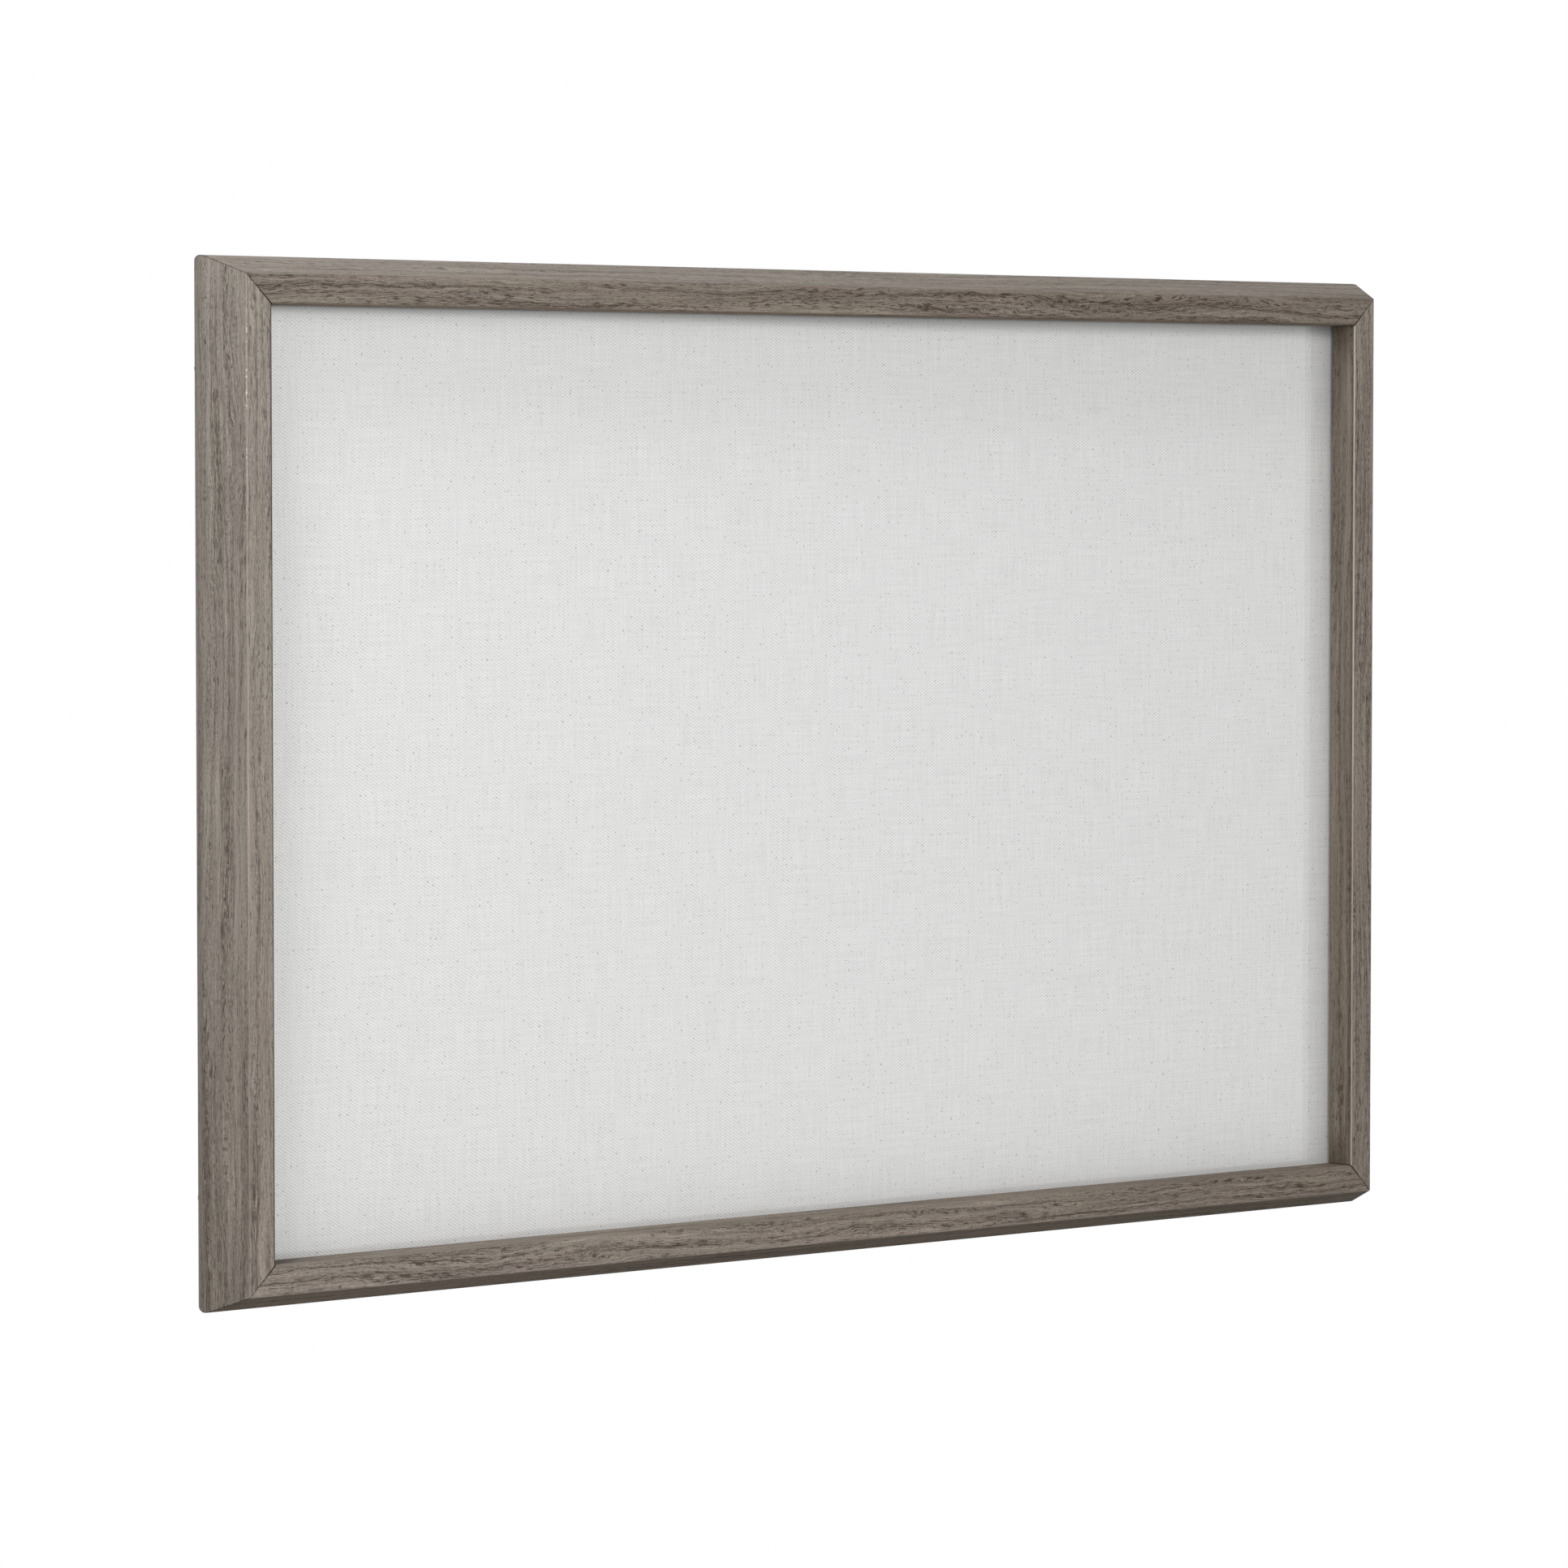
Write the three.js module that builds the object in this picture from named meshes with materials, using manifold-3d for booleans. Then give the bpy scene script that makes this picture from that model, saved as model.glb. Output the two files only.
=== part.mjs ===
// Framed glass dry erase board: four mitred lengths of a flared moulding hold a glass pane in front of a
// linen-covered core, and a hardboard panel under turn buttons closes the back. It hangs on two ring straps.
// Millimetres. Seen from the front +X is right and +Z is up. The front faces -Y and the wall is the plane y = 0.
import * as THREE from "three";
import { mergeVertices } from "three/addons/utils/BufferGeometryUtils.js";
import Module from "manifold-3d";

const wasm = await Module();
wasm.setup();

// Overall size, over the widest swell of the moulding
const BOARD_WIDTH = 762;
const BOARD_HEIGHT = 508;

// Moulding section
const MOULD_DEPTH = 37.5; // front face to back face
const FACE_WIDTH = 14.8; // flat front face
const SHOULDER_OUT = 10.8; // sharp shoulder, outwards from the front outer arris
const SHOULDER_BACK = 8.3; // sharp shoulder, in front of the back face
const SHOULDER_TUCK = 6.6; // back face's outer edge, inwards from the shoulder
const SHOULDER_RADIUS = 14;
const ARRIS_RADIUS = 0.8;
const BACK_RADIUS = 1.2;
const RABBET_WIDTH = 6.5;
const LIP_DEPTH = 17.3; // front face to the ledge that the glass lies against
const MITRE_GAP = 0.3;

// Stack in the rabbet, from the front
const GLASS_THICKNESS = 4;
const GLASS_SEAM = 0.5; // ground edge
const GLASS_CORNER = 2;
const LINEN_THICKNESS = 0.6;
const LINEN_TURN = 25; // cloth turned over the back of the core
const BACK_THICKNESS = 3.2;
const BACK_FLUSH = 0.2; // back panel, below the frame's back face
const EDGE_PLAY = 0.75; // stack to rabbet wall
const SLIP = 0.1; // between faces that lie on each other

// Turn buttons and their screws
const BUTTON_THICKNESS = 1;
const BUTTON_HEAD_RADIUS = 4.2;
const BUTTON_TIP_RADIUS = 2.6;
const BUTTON_LAP = 8; // over the back panel
const RAIL_BUTTON_INSET = 182; // from the front corner along a rail
const STILE_BUTTON_INSET = 118; // from the front corner along a stile
const BUTTON_SCREW = { shank: 1.5, length: 14, head: 3.1, rise: 1.9 };

// Ring hangers
const STRAP_THICKNESS = 1;
const STRAP_WIDTH = 8.2;
const STRAP_LENGTH = 36; // ring axis to the rounded end
const STRAP_ROLL = 285; // degrees that the barrel is rolled through
const HANGER_SHIFT = 1.6; // hanger, inwards from the middle of the back face
const RING_DROP = 165; // ring axis below the front top corner
const RING_WIRE = 0.9; // wire radius
const RING_INSIDE = 9.5; // width inside the ring
const RING_LEG = 4; // straight part of the ring's sides
const RING_BEND = 2; // corner bend, to the middle of the wire
const RING_SEAM = 0.3; // butt joint of the wire, inside the barrel
const STRAP_SCREW = { shank: 1.6, length: 12, head: 3.2, rise: 1.9 };
const STRAP_END = 5.5; // lower screw to the rounded end
const SCREW_DROP = 1.3; // upper screw's head below the hanging ring

// V nails across the mitres
const NAIL_LEG = 9;
const NAIL_THICKNESS = 0.5;
const NAIL_HEIGHT = 10;
const NAIL_SINK = 0.3; // below the back face

// Bumper pads
const PAD_RADIUS = 4.6;
const PAD_TOP_RADIUS = 3;
const PAD_HEIGHT = 5; // back face to the wall
const PAD_WALL = 1.2; // straight side under the dome
const PAD_INSET = 45; // from the front corner along a stile

const CLEARANCE = 0.3; // hole to shank, slot to nail, barrel to ring
const OVERCUT = 1; // cutters run this far past the face that they open

const ARC_STEPS = 8;
const ROUND_STEPS = 16;
const RING_STEPS = 56;
const RING_SIDES = 10;
const DOME_STEPS = 4;

const FINISH = {
  wood: { color: 0x887f75, roughness: 0.55, metalness: 0 },
  glass: { color: 0xeef3f1, roughness: 0.05, metalness: 0, transparent: true, opacity: 0.3 },
  linen: { color: 0xe4e4e2, roughness: 0.95, metalness: 0 },
  fibreboard: { color: 0xa89880, roughness: 0.95, metalness: 0 },
  hardboard: { color: 0x6f5238, roughness: 0.8, metalness: 0 },
  steel: { color: 0xb9bbbd, roughness: 0.35, metalness: 1 },
  zinc: { color: 0x9fa2a4, roughness: 0.45, metalness: 1 },
  rubber: { color: 0x2c2c2c, roughness: 0.85, metalness: 0 },
};

// Sizes worked out from the ones above
const shoulderDepth = MOULD_DEPTH - SHOULDER_BACK;
const backOuter = SHOULDER_OUT - SHOULDER_TUCK;
const rabbetWall = RABBET_WIDTH - FACE_WIDTH;
const backMiddle = (backOuter + rabbetWall) / 2;
const frontY = -(PAD_HEIGHT + MOULD_DEPTH);

// Closed geometry to solid and back, for cuts and joins
function solidOf(geometry) {
  const bare = geometry.clone();
  bare.deleteAttribute("normal");
  bare.deleteAttribute("uv");
  const merged = mergeVertices(bare, 1e-4);
  const made = new wasm.Mesh({
    numProp: 3,
    vertProperties: new Float32Array(merged.attributes.position.array),
    triVerts: new Uint32Array(merged.index.array),
  });
  return new wasm.Manifold(made);
}

function geometryOf(solid) {
  const made = solid.getMesh();
  const geometry = new THREE.BufferGeometry();
  geometry.setAttribute("position", new THREE.BufferAttribute(made.vertProperties, 3));
  geometry.setIndex(new THREE.BufferAttribute(made.triVerts, 1));
  geometry.computeVertexNormals();
  return geometry;
}

function cut(geometry, cutters) {
  const left = cutters.reduce((solid, cutter) => solid.subtract(solidOf(cutter)), solidOf(geometry));
  return geometryOf(left);
}

// Corner between two straight edges: its turn, and the length that a rounding takes off each edge
function cornerTurn(before, corner, after) {
  const into = new THREE.Vector2().subVectors(corner.at, before.at).normalize();
  const out = new THREE.Vector2().subVectors(after.at, corner.at).normalize();
  const turn = Math.atan2(into.cross(out), into.dot(out));
  return { into, out, turn, trim: corner.radius * Math.tan(Math.abs(turn) / 2) };
}

// Rounded corners of a closed polygon. A radius is cut down where its edge is too short for it.
function roundedCorners(corners) {
  const count = corners.length;
  const turns = corners.map((corner, i) =>
    cornerTurn(corners[(i + count - 1) % count], corner, corners[(i + 1) % count]),
  );
  corners.forEach((corner, i) => {
    const next = (i + 1) % count;
    const length = corner.at.distanceTo(corners[next].at);
    const share = Math.min(1, length / (turns[i].trim + turns[next].trim || length));
    turns[i].trim *= share;
    turns[next].trim *= share;
  });
  return corners.map((corner, i) => {
    const { into, out, turn, trim } = turns[i];
    const radius = trim / Math.tan(Math.abs(turn) / 2);
    const start = corner.at.clone().addScaledVector(into, -trim);
    const side = new THREE.Vector2(-into.y, into.x).multiplyScalar(Math.sign(turn) * radius);
    const centre = start.clone().add(side);
    const end = corner.at.clone().addScaledVector(out, trim);
    return { start, end, centre, radius, clockwise: turn < 0 };
  });
}

function outline(rounded) {
  const shape = new THREE.Shape();
  shape.moveTo(rounded[0].end.x, rounded[0].end.y);
  for (const { start, end, centre, radius, clockwise } of [...rounded.slice(1), rounded[0]]) {
    shape.lineTo(start.x, start.y);
    if (radius > 0) {
      const from = start.clone().sub(centre).angle();
      const to = end.clone().sub(centre).angle();
      shape.absarc(centre.x, centre.y, radius, from, to, clockwise);
    }
  }
  return shape;
}

const corner = (x, y, radius = 0) => ({ at: new THREE.Vector2(x, y), radius });

// Moulding section: x outwards from the front outer arris, y back from the front face
const section = roundedCorners([
  corner(0, 0, ARRIS_RADIUS),
  corner(SHOULDER_OUT, shoulderDepth, SHOULDER_RADIUS),
  corner(backOuter, MOULD_DEPTH, BACK_RADIUS),
  corner(rabbetWall, MOULD_DEPTH),
  corner(rabbetWall, LIP_DEPTH),
  corner(-FACE_WIDTH, LIP_DEPTH),
  corner(-FACE_WIDTH, 0, ARRIS_RADIUS),
]);
const shoulder = section[1];
const swell = shoulder.centre.x + shoulder.radius;
const frontWidth = BOARD_WIDTH - 2 * swell;
const frontHeight = BOARD_HEIGHT - 2 * swell;

// Stack of sheets: outer size, and depths from the front face
const stackWidth = frontWidth + 2 * (rabbetWall - EDGE_PLAY);
const stackHeight = frontHeight + 2 * (rabbetWall - EDGE_PLAY);
const glassFront = LIP_DEPTH + SLIP;
const linenFront = glassFront + GLASS_THICKNESS + SLIP;
const coreFront = linenFront + LINEN_THICKNESS + SLIP;
const backFront = MOULD_DEPTH - BACK_FLUSH - BACK_THICKNESS;
const linenBack = backFront - SLIP;
const coreBack = linenBack - LINEN_THICKNESS - SLIP;
const wrap = LINEN_THICKNESS + SLIP;

// A mitred length of the moulding: each point reaches as far past the front corner as it stands outwards
function mitredLength(half) {
  const options = { depth: 2, bevelEnabled: false, curveSegments: ARC_STEPS };
  const bar = new THREE.ExtrudeGeometry(outline(section), options).translate(0, 0, -1);
  const points = bar.getAttribute("position");
  for (let i = 0; i < points.count; i += 1) {
    const reach = half + points.getX(i) - MITRE_GAP / Math.SQRT2;
    points.setZ(i, Math.sign(points.getZ(i)) * reach);
  }
  return bar;
}

// A flat outline in x and z, from depth y to y + thickness
function plate(shape, y, thickness, steps = ARC_STEPS) {
  const options = { depth: thickness, bevelEnabled: false, curveSegments: steps };
  const made = new THREE.ExtrudeGeometry(shape, options);
  return made.rotateX(Math.PI / 2).translate(0, y + thickness, 0);
}

function rectangle(width, height, radius = 0) {
  const [x, y] = [width / 2, height / 2];
  return outline(
    roundedCorners([corner(-x, -y, radius), corner(x, -y, radius), corner(x, y, radius), corner(-x, y, radius)]),
  );
}

function hole(radius, x, y, z, depth) {
  const length = depth + OVERCUT;
  const bore = new THREE.CylinderGeometry(radius, radius, length, ROUND_STEPS);
  return bore.translate(x, y + OVERCUT - length / 2, z);
}

// Domed edge of a turned piece: a quarter ellipse from (radius, from) up to (inner, to)
function dome(radius, inner, from, to) {
  return Array.from({ length: DOME_STEPS + 1 }, (_, i) => {
    const angle = (i / DOME_STEPS) * (Math.PI / 2);
    const x = inner + (radius - inner) * Math.cos(angle);
    return new THREE.Vector2(x, from + (to - from) * Math.sin(angle));
  });
}

// Pan-head wood screw along y, its head resting on y = 0
function screw({ shank, length, head, rise }) {
  const brim = rise / 3;
  const profile = [
    new THREE.Vector2(0, -length),
    new THREE.Vector2(shank, -length + 2 * shank),
    new THREE.Vector2(shank, 0),
    new THREE.Vector2(head, 0),
    ...dome(head, 0, brim, rise),
  ];
  return new THREE.LatheGeometry(profile, ROUND_STEPS);
}

function bumperPad() {
  const profile = [
    new THREE.Vector2(0, 0),
    new THREE.Vector2(PAD_RADIUS, 0),
    ...dome(PAD_RADIUS, PAD_TOP_RADIUS, PAD_WALL, PAD_HEIGHT),
    new THREE.Vector2(0, PAD_HEIGHT),
  ];
  return new THREE.LatheGeometry(profile, ROUND_STEPS);
}

// Turn button: a flat drop that points inwards (-x) from its screw hole to lap over the back panel
function turnButton() {
  const reach = backMiddle - rabbetWall + BUTTON_LAP - BUTTON_TIP_RADIUS;
  const lean = Math.asin((BUTTON_HEAD_RADIUS - BUTTON_TIP_RADIUS) / reach);
  const up = Math.PI / 2 + lean;
  const drop = new THREE.Shape();
  drop.absarc(0, 0, BUTTON_HEAD_RADIUS, -up, up, false);
  drop.absarc(-reach, 0, BUTTON_TIP_RADIUS, up, 2 * Math.PI - up, false);
  const bore = new THREE.Path();
  bore.absarc(0, 0, BUTTON_SCREW.shank + CLEARANCE, 0, 2 * Math.PI, true);
  drop.holes.push(bore);
  return plate(drop, 0, BUTTON_THICKNESS);
}

// Strap hanger: x across, y off the frame's back, z up, with the ring's axis at z = 0
const barrelInside = RING_WIRE + CLEARANCE;
const barrelOutside = barrelInside + STRAP_THICKNESS;
const ringSide = RING_INSIDE / 2 + RING_WIRE;
const ringReach = RING_LEG + ringSide + RING_WIRE;
const strapScrews = {
  upper: -(ringReach + SCREW_DROP + STRAP_SCREW.head),
  lower: STRAP_END - STRAP_LENGTH,
};

function strap() {
  const start = -Math.PI / 2;
  const end = start + THREE.MathUtils.degToRad(STRAP_ROLL);
  const side = new THREE.Shape();
  side.moveTo(-STRAP_LENGTH, 0);
  side.lineTo(0, 0);
  side.absarc(0, barrelOutside, barrelOutside, start, end, false);
  side.absarc(0, barrelOutside, barrelInside, end, start, true);
  side.lineTo(-STRAP_LENGTH, STRAP_THICKNESS);
  const options = { depth: STRAP_WIDTH, bevelEnabled: false, curveSegments: ARC_STEPS };
  const rolled = new THREE.ExtrudeGeometry(side, options).rotateY(-Math.PI / 2).translate(STRAP_WIDTH / 2, 0, 0);
  const top = 2 * barrelOutside;
  const half = STRAP_WIDTH / 2;
  const tongue = new THREE.Shape();
  tongue.moveTo(half, top);
  tongue.lineTo(-half, top);
  tongue.lineTo(-half, half - STRAP_LENGTH);
  tongue.absarc(0, half - STRAP_LENGTH, half, Math.PI, 2 * Math.PI, false);
  const plan = plate(tongue, -OVERCUT, 2 * (top + OVERCUT));
  const bores = Object.values(strapScrews).map((z) =>
    hole(STRAP_SCREW.shank + CLEARANCE, 0, STRAP_THICKNESS, z, STRAP_THICKNESS + OVERCUT),
  );
  return cut(geometryOf(solidOf(rolled).intersect(solidOf(plan))), bores);
}

// Hanging ring: one bent wire, its ends butted in the middle of the bar, hanging down from y = z = 0
function hangingRing() {
  const line = new THREE.Path();
  line.moveTo(RING_SEAM / 2, 0);
  line.lineTo(ringSide - RING_BEND, 0);
  line.absarc(ringSide - RING_BEND, -RING_BEND, RING_BEND, Math.PI / 2, 0, true);
  line.lineTo(ringSide, -RING_LEG);
  line.absarc(0, -RING_LEG, ringSide, 0, -Math.PI, true);
  line.lineTo(-ringSide, -RING_BEND);
  line.absarc(RING_BEND - ringSide, -RING_BEND, RING_BEND, Math.PI, Math.PI / 2, true);
  line.lineTo(-RING_SEAM / 2, 0);
  const points = line.getSpacedPoints(RING_STEPS).map((p) => new THREE.Vector3(p.x, 0, p.y));
  const wire = new THREE.Shape().absarc(0, 0, RING_WIRE, 0, 2 * Math.PI, false);
  const options = {
    steps: RING_STEPS,
    curveSegments: RING_SIDES / 2,
    extrudePath: new THREE.CatmullRomCurve3(points),
  };
  return new THREE.ExtrudeGeometry(wire, options);
}

// V nail, seen from behind: two equal legs from an apex on the mitre, grown all round by grow for its slot
function vNail(half, end, grow, y, height) {
  const wide = NAIL_THICKNESS / 2 + grow;
  const far = -(NAIL_LEG + grow);
  const apex = { x: backMiddle, z: half + backMiddle };
  const bent = [
    [wide, wide],
    [wide, far],
    [-wide, far],
    [-wide, -wide],
    [far, -wide],
    [far, wide],
  ];
  const legs = new THREE.Shape(bent.map(([x, z]) => new THREE.Vector2(apex.x + x, end * (apex.z + z))));
  return plate(legs, y, height);
}

// Linen drawn over the core: front, four edges and the turned border behind
function linenCover() {
  const sheet = plate(rectangle(stackWidth, stackHeight), linenFront, linenBack - linenFront);
  const coreRoom = plate(
    rectangle(stackWidth - 2 * LINEN_THICKNESS, stackHeight - 2 * LINEN_THICKNESS),
    linenFront + LINEN_THICKNESS,
    linenBack - linenFront - 2 * LINEN_THICKNESS,
  );
  const opening = plate(
    rectangle(stackWidth - 2 * LINEN_TURN, stackHeight - 2 * LINEN_TURN),
    coreBack,
    linenBack - coreBack + OVERCUT,
  );
  return cut(sheet, [coreRoom, opening]);
}

// Glass pane with ground edges and eased corners
function glassPane() {
  const shape = rectangle(stackWidth, stackHeight, GLASS_CORNER);
  const made = new THREE.ExtrudeGeometry(shape, {
    depth: GLASS_THICKNESS - 2 * GLASS_SEAM,
    bevelThickness: GLASS_SEAM,
    bevelSize: GLASS_SEAM,
    bevelOffset: -GLASS_SEAM,
    bevelSegments: 1,
    curveSegments: ARC_STEPS / 4,
  });
  return made.rotateX(Math.PI / 2).translate(0, glassFront + GLASS_THICKNESS - GLASS_SEAM, 0);
}

const board = new THREE.Group();
board.name = "glass_dry_erase_board";

function add(parent, name, geometry, finish, x = 0, y = 0, z = 0) {
  const piece = new THREE.Mesh(geometry, new THREE.MeshStandardMaterial(finish));
  piece.name = name;
  piece.position.set(x, y, z);
  parent.add(piece);
}

const stack = new THREE.Group();
stack.position.y = frontY;
board.add(stack);
add(stack, "glass_panel", glassPane(), FINISH.glass);
add(stack, "linen_cover", linenCover(), FINISH.linen);
const coreSize = [stackWidth - 2 * wrap, stackHeight - 2 * wrap];
add(stack, "core_board", plate(rectangle(...coreSize), coreFront, coreBack - coreFront), FINISH.fibreboard);
add(stack, "back_panel", plate(rectangle(stackWidth, stackHeight), backFront, BACK_THICKNESS), FINISH.hardboard);

// Each side is built in its own frame: x outwards from the front arris, y back from the front face, z along it.
// ends names what lies towards -z and +z, and corner is the one at +z. A hanger's way up along z is up.
const sides = [
  { name: "top_rail", turn: -Math.PI / 2, ends: ["right", "left"], corner: "top_left" },
  { name: "right_stile", turn: 0, ends: ["lower", "upper"], corner: "top_right", hanger: "right", up: 1 },
  { name: "bottom_rail", turn: Math.PI / 2, ends: ["left", "right"], corner: "bottom_right" },
  { name: "left_stile", turn: Math.PI, ends: ["upper", "lower"], corner: "bottom_left", hanger: "left", up: -1 },
];

for (const { name, turn, ends, corner: nailCorner, hanger, up } of sides) {
  const half = (hanger ? frontHeight : frontWidth) / 2;
  const out = (hanger ? frontWidth : frontHeight) / 2;
  const side = new THREE.Group();
  side.rotation.y = turn;
  side.position.set(out * Math.cos(turn), frontY, -out * Math.sin(turn));
  board.add(side);

  const nailTop = MOULD_DEPTH - NAIL_SINK;
  const slotDepth = NAIL_HEIGHT + CLEARANCE;
  const cutters = [-1, 1].map((end) =>
    vNail(half, end, CLEARANCE, nailTop - slotDepth, slotDepth + NAIL_SINK + OVERCUT),
  );
  const nail = vNail(half, 1, 0, nailTop - NAIL_HEIGHT, NAIL_HEIGHT);
  add(side, `${nailCorner}_v_nail`, nail, FINISH.steel);

  const pilot = (spec, under, x, z) =>
    hole(spec.shank + CLEARANCE, x, MOULD_DEPTH, z, spec.length - under + CLEARANCE);

  const buttonSeat = SLIP + BUTTON_THICKNESS + SLIP;
  const buttonInset = hanger ? STILE_BUTTON_INSET : RAIL_BUTTON_INSET;
  ends.forEach((end, i) => {
    const z = (2 * i - 1) * (half - buttonInset);
    const label = `${name}_${end}_button`;
    cutters.push(pilot(BUTTON_SCREW, buttonSeat, backMiddle, z));
    add(side, label, turnButton(), FINISH.zinc, backMiddle, MOULD_DEPTH + SLIP, z);
    add(side, `${label}_screw`, screw(BUTTON_SCREW), FINISH.steel, backMiddle, MOULD_DEPTH + buttonSeat, z);
  });

  if (hanger) {
    ends.forEach((end, i) => {
      const z = (2 * i - 1) * (half - PAD_INSET);
      add(side, `${name}_${end}_pad`, bumperPad(), FINISH.rubber, backMiddle, MOULD_DEPTH, z);
    });

    const hook = new THREE.Group();
    hook.rotation.y = up > 0 ? 0 : Math.PI;
    hook.position.set(backMiddle - HANGER_SHIFT, MOULD_DEPTH, up * (half - RING_DROP));
    side.add(hook);
    add(hook, `${hanger}_strap`, strap(), FINISH.zinc);
    add(hook, `${hanger}_ring`, hangingRing(), FINISH.zinc, 0, barrelOutside, 0);
    for (const [place, z] of Object.entries(strapScrews)) {
      cutters.push(pilot(STRAP_SCREW, STRAP_THICKNESS + SLIP, hook.position.x, hook.position.z + up * z));
      const label = `${hanger}_strap_${place}_screw`;
      add(hook, label, screw(STRAP_SCREW), FINISH.steel, 0, STRAP_THICKNESS + SLIP, z);
    }
  }

  add(side, name, cut(mitredLength(half), cutters), FINISH.wood);
}

export default board;
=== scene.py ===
"""Dress the framed glass writing board: foil-wrapped frame, linen, glass and back hardware."""

import math

import bmesh
import bpy
from bpy.props import FloatProperty, FloatVectorProperty, IntProperty, PointerProperty
from mathutils import Matrix, Vector


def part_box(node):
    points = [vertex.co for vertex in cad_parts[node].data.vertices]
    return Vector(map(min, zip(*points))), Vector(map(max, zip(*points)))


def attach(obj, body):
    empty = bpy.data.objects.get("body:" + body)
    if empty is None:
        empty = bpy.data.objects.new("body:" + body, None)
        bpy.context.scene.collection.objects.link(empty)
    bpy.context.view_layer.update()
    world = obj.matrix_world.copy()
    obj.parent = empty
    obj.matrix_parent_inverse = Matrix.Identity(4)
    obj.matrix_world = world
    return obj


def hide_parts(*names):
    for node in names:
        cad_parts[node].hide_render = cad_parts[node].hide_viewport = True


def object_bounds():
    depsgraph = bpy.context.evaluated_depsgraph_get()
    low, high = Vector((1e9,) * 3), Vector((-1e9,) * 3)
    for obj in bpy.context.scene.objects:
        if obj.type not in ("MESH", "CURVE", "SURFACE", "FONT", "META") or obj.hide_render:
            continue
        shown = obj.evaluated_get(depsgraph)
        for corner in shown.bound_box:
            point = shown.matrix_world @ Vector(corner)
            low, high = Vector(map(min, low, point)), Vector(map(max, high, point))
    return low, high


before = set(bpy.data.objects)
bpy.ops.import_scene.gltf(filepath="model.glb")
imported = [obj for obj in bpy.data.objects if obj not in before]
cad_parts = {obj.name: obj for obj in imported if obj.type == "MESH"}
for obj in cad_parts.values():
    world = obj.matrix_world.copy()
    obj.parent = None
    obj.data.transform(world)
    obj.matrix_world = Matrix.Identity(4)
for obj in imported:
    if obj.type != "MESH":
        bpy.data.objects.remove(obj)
CAD_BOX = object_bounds()

bl_info = {
    "name": "Framed glass writing board",
    "version": (1, 0, 0),
    "blender": (4, 5, 0),
    "location": "View3D > Sidebar > Board",
    "description": "Builds the frame, linen, glass and back hardware of a hanging writing board",
    "category": "Object",
}

MILLIMETRES = 1000.0
BACKWARD = Vector((0, 1, 0))
BOARD_BODY = "board"
FOIL_MAP = "foil"

# Each member: the way its outer side faces, the way its length runs, and where its print starts
MEMBERS = {
    "top_rail": {"out": (0, 0, 1), "along": (-1, 0, 0), "print": 0.31},
    "right_stile": {"out": (1, 0, 0), "along": (0, 0, 1), "print": 1.73},
    "bottom_rail": {"out": (0, 0, -1), "along": (1, 0, 0), "print": 8.6},
    "left_stile": {"out": (-1, 0, 0), "along": (0, 0, -1), "print": 5.29},
}

# Straight run kept beside each rounded corner of the section
SECTION_HOLD = 0.0004

# A member's cut end is drawn in about the section's middle, by this much for each metre of easing
SECTION_MIDDLE = (-0.0025, 0.0195)
END_DRAW = 62.0

# Cutters stand this far past the face they cut, and a screw nearer a mitre is the next member's
CUT_PAST = 0.001
CORNER_CLEAR = 0.02

# The side's tone, with the bottom rail's painted underside shade, turns to the back's tone over the
# swell, which starts this far before the back
SWELL_START = 0.012
SWELL_RUN = 0.01
BACK_SHADE = 0.9

# How strongly the grain shows on the inner wall and round the front edges
WALL_FIGURE = 0.9
INNER_EDGE_FIGURE = 0.4
OUTER_EDGE_FIGURE = 0.6

# The painted shade line on the inner wall behind its front arris: full up to the first depth, gone at the
# second
WALL_LINE = 0.001
WALL_LINE_END = 0.0022

# Where the inner front arris is rubbed and carries its painted highlight most, and how far from its crest
# an arris is rubbed and highlighted, in degrees
INNER_CREST = -120
CREST_SPREAD = 40

# Rows of the linen's mesh in from its edge, and the round of its corners
FRONT_INSETS = (0.06, 0.03, 0.012, 0.004)
BACK_INSET = 0.008
CLOTH_CORNER = 0.0016
LEAST_CLOTH_CORNER = 0.0004

# The cross recess's foot and mouth: half width, reach and height from the crown
RECESS = ((0.00022, 0.0007, -0.0012), (0.00048, 0.0019, 0.0004))

# Softened edges of the stampings, a height on the strap's flat, and how far its barrel is rolled
BUTTON_SOFT = 0.00022
STRAP_SOFT = 0.00018
STRAP_FLAT = -0.02
ROLL_DEGREES = 285

FLOOR_LEVEL = -1.25
FLOOR_RADIUS = 3.2
WHITE = (1.0, 1.0, 1.0, 1.0)

# Each lamp's place, side and power, and whether the glass and metal mirror it
LAMPS = {
    "high_lamp": ((-2.88, -1.34, 5.09), 2.0, 184.0, True),
    "front_lamp": ((-0.51, -1.39, 0.26), 1.0, 10.5, False),
    "low_lamp": ((1.25, -2.68, -0.52), 2.0, 18.8, False),
    "side_lamp": ((-1.28, -0.6, 0.51), 0.5, 2.6, False),
    "back_lamp": ((0.9, 1.9, 0.3), 3.0, 30.0, True),
}
CAMERA_SPOT = (-2.11541, -2.60625, 0.14988)
CAMERA_AIM = (0.62787, 0.77684, -0.04793)
CAMERA_LENS = 148.83
CAMERA_SENSOR = 36.0


def srgb(red, green, blue):
    """A display colour of 0 to 255 a channel as linear light."""

    def linear(channel):
        share = channel / 255
        return share / 12.92 if share <= 0.04045 else ((share + 0.055) / 1.055) ** 2.4

    return linear(red), linear(green), linear(blue)


def length(name, description, default):
    """A size in metres."""
    return FloatProperty(name=name, description=description, default=default, unit="LENGTH", precision=5)


def colour(name, description, default):
    """A linear colour."""
    return FloatVectorProperty(
        name=name, description=description, default=default, subtype="COLOR", size=3, min=0.0, max=1.0
    )


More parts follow.
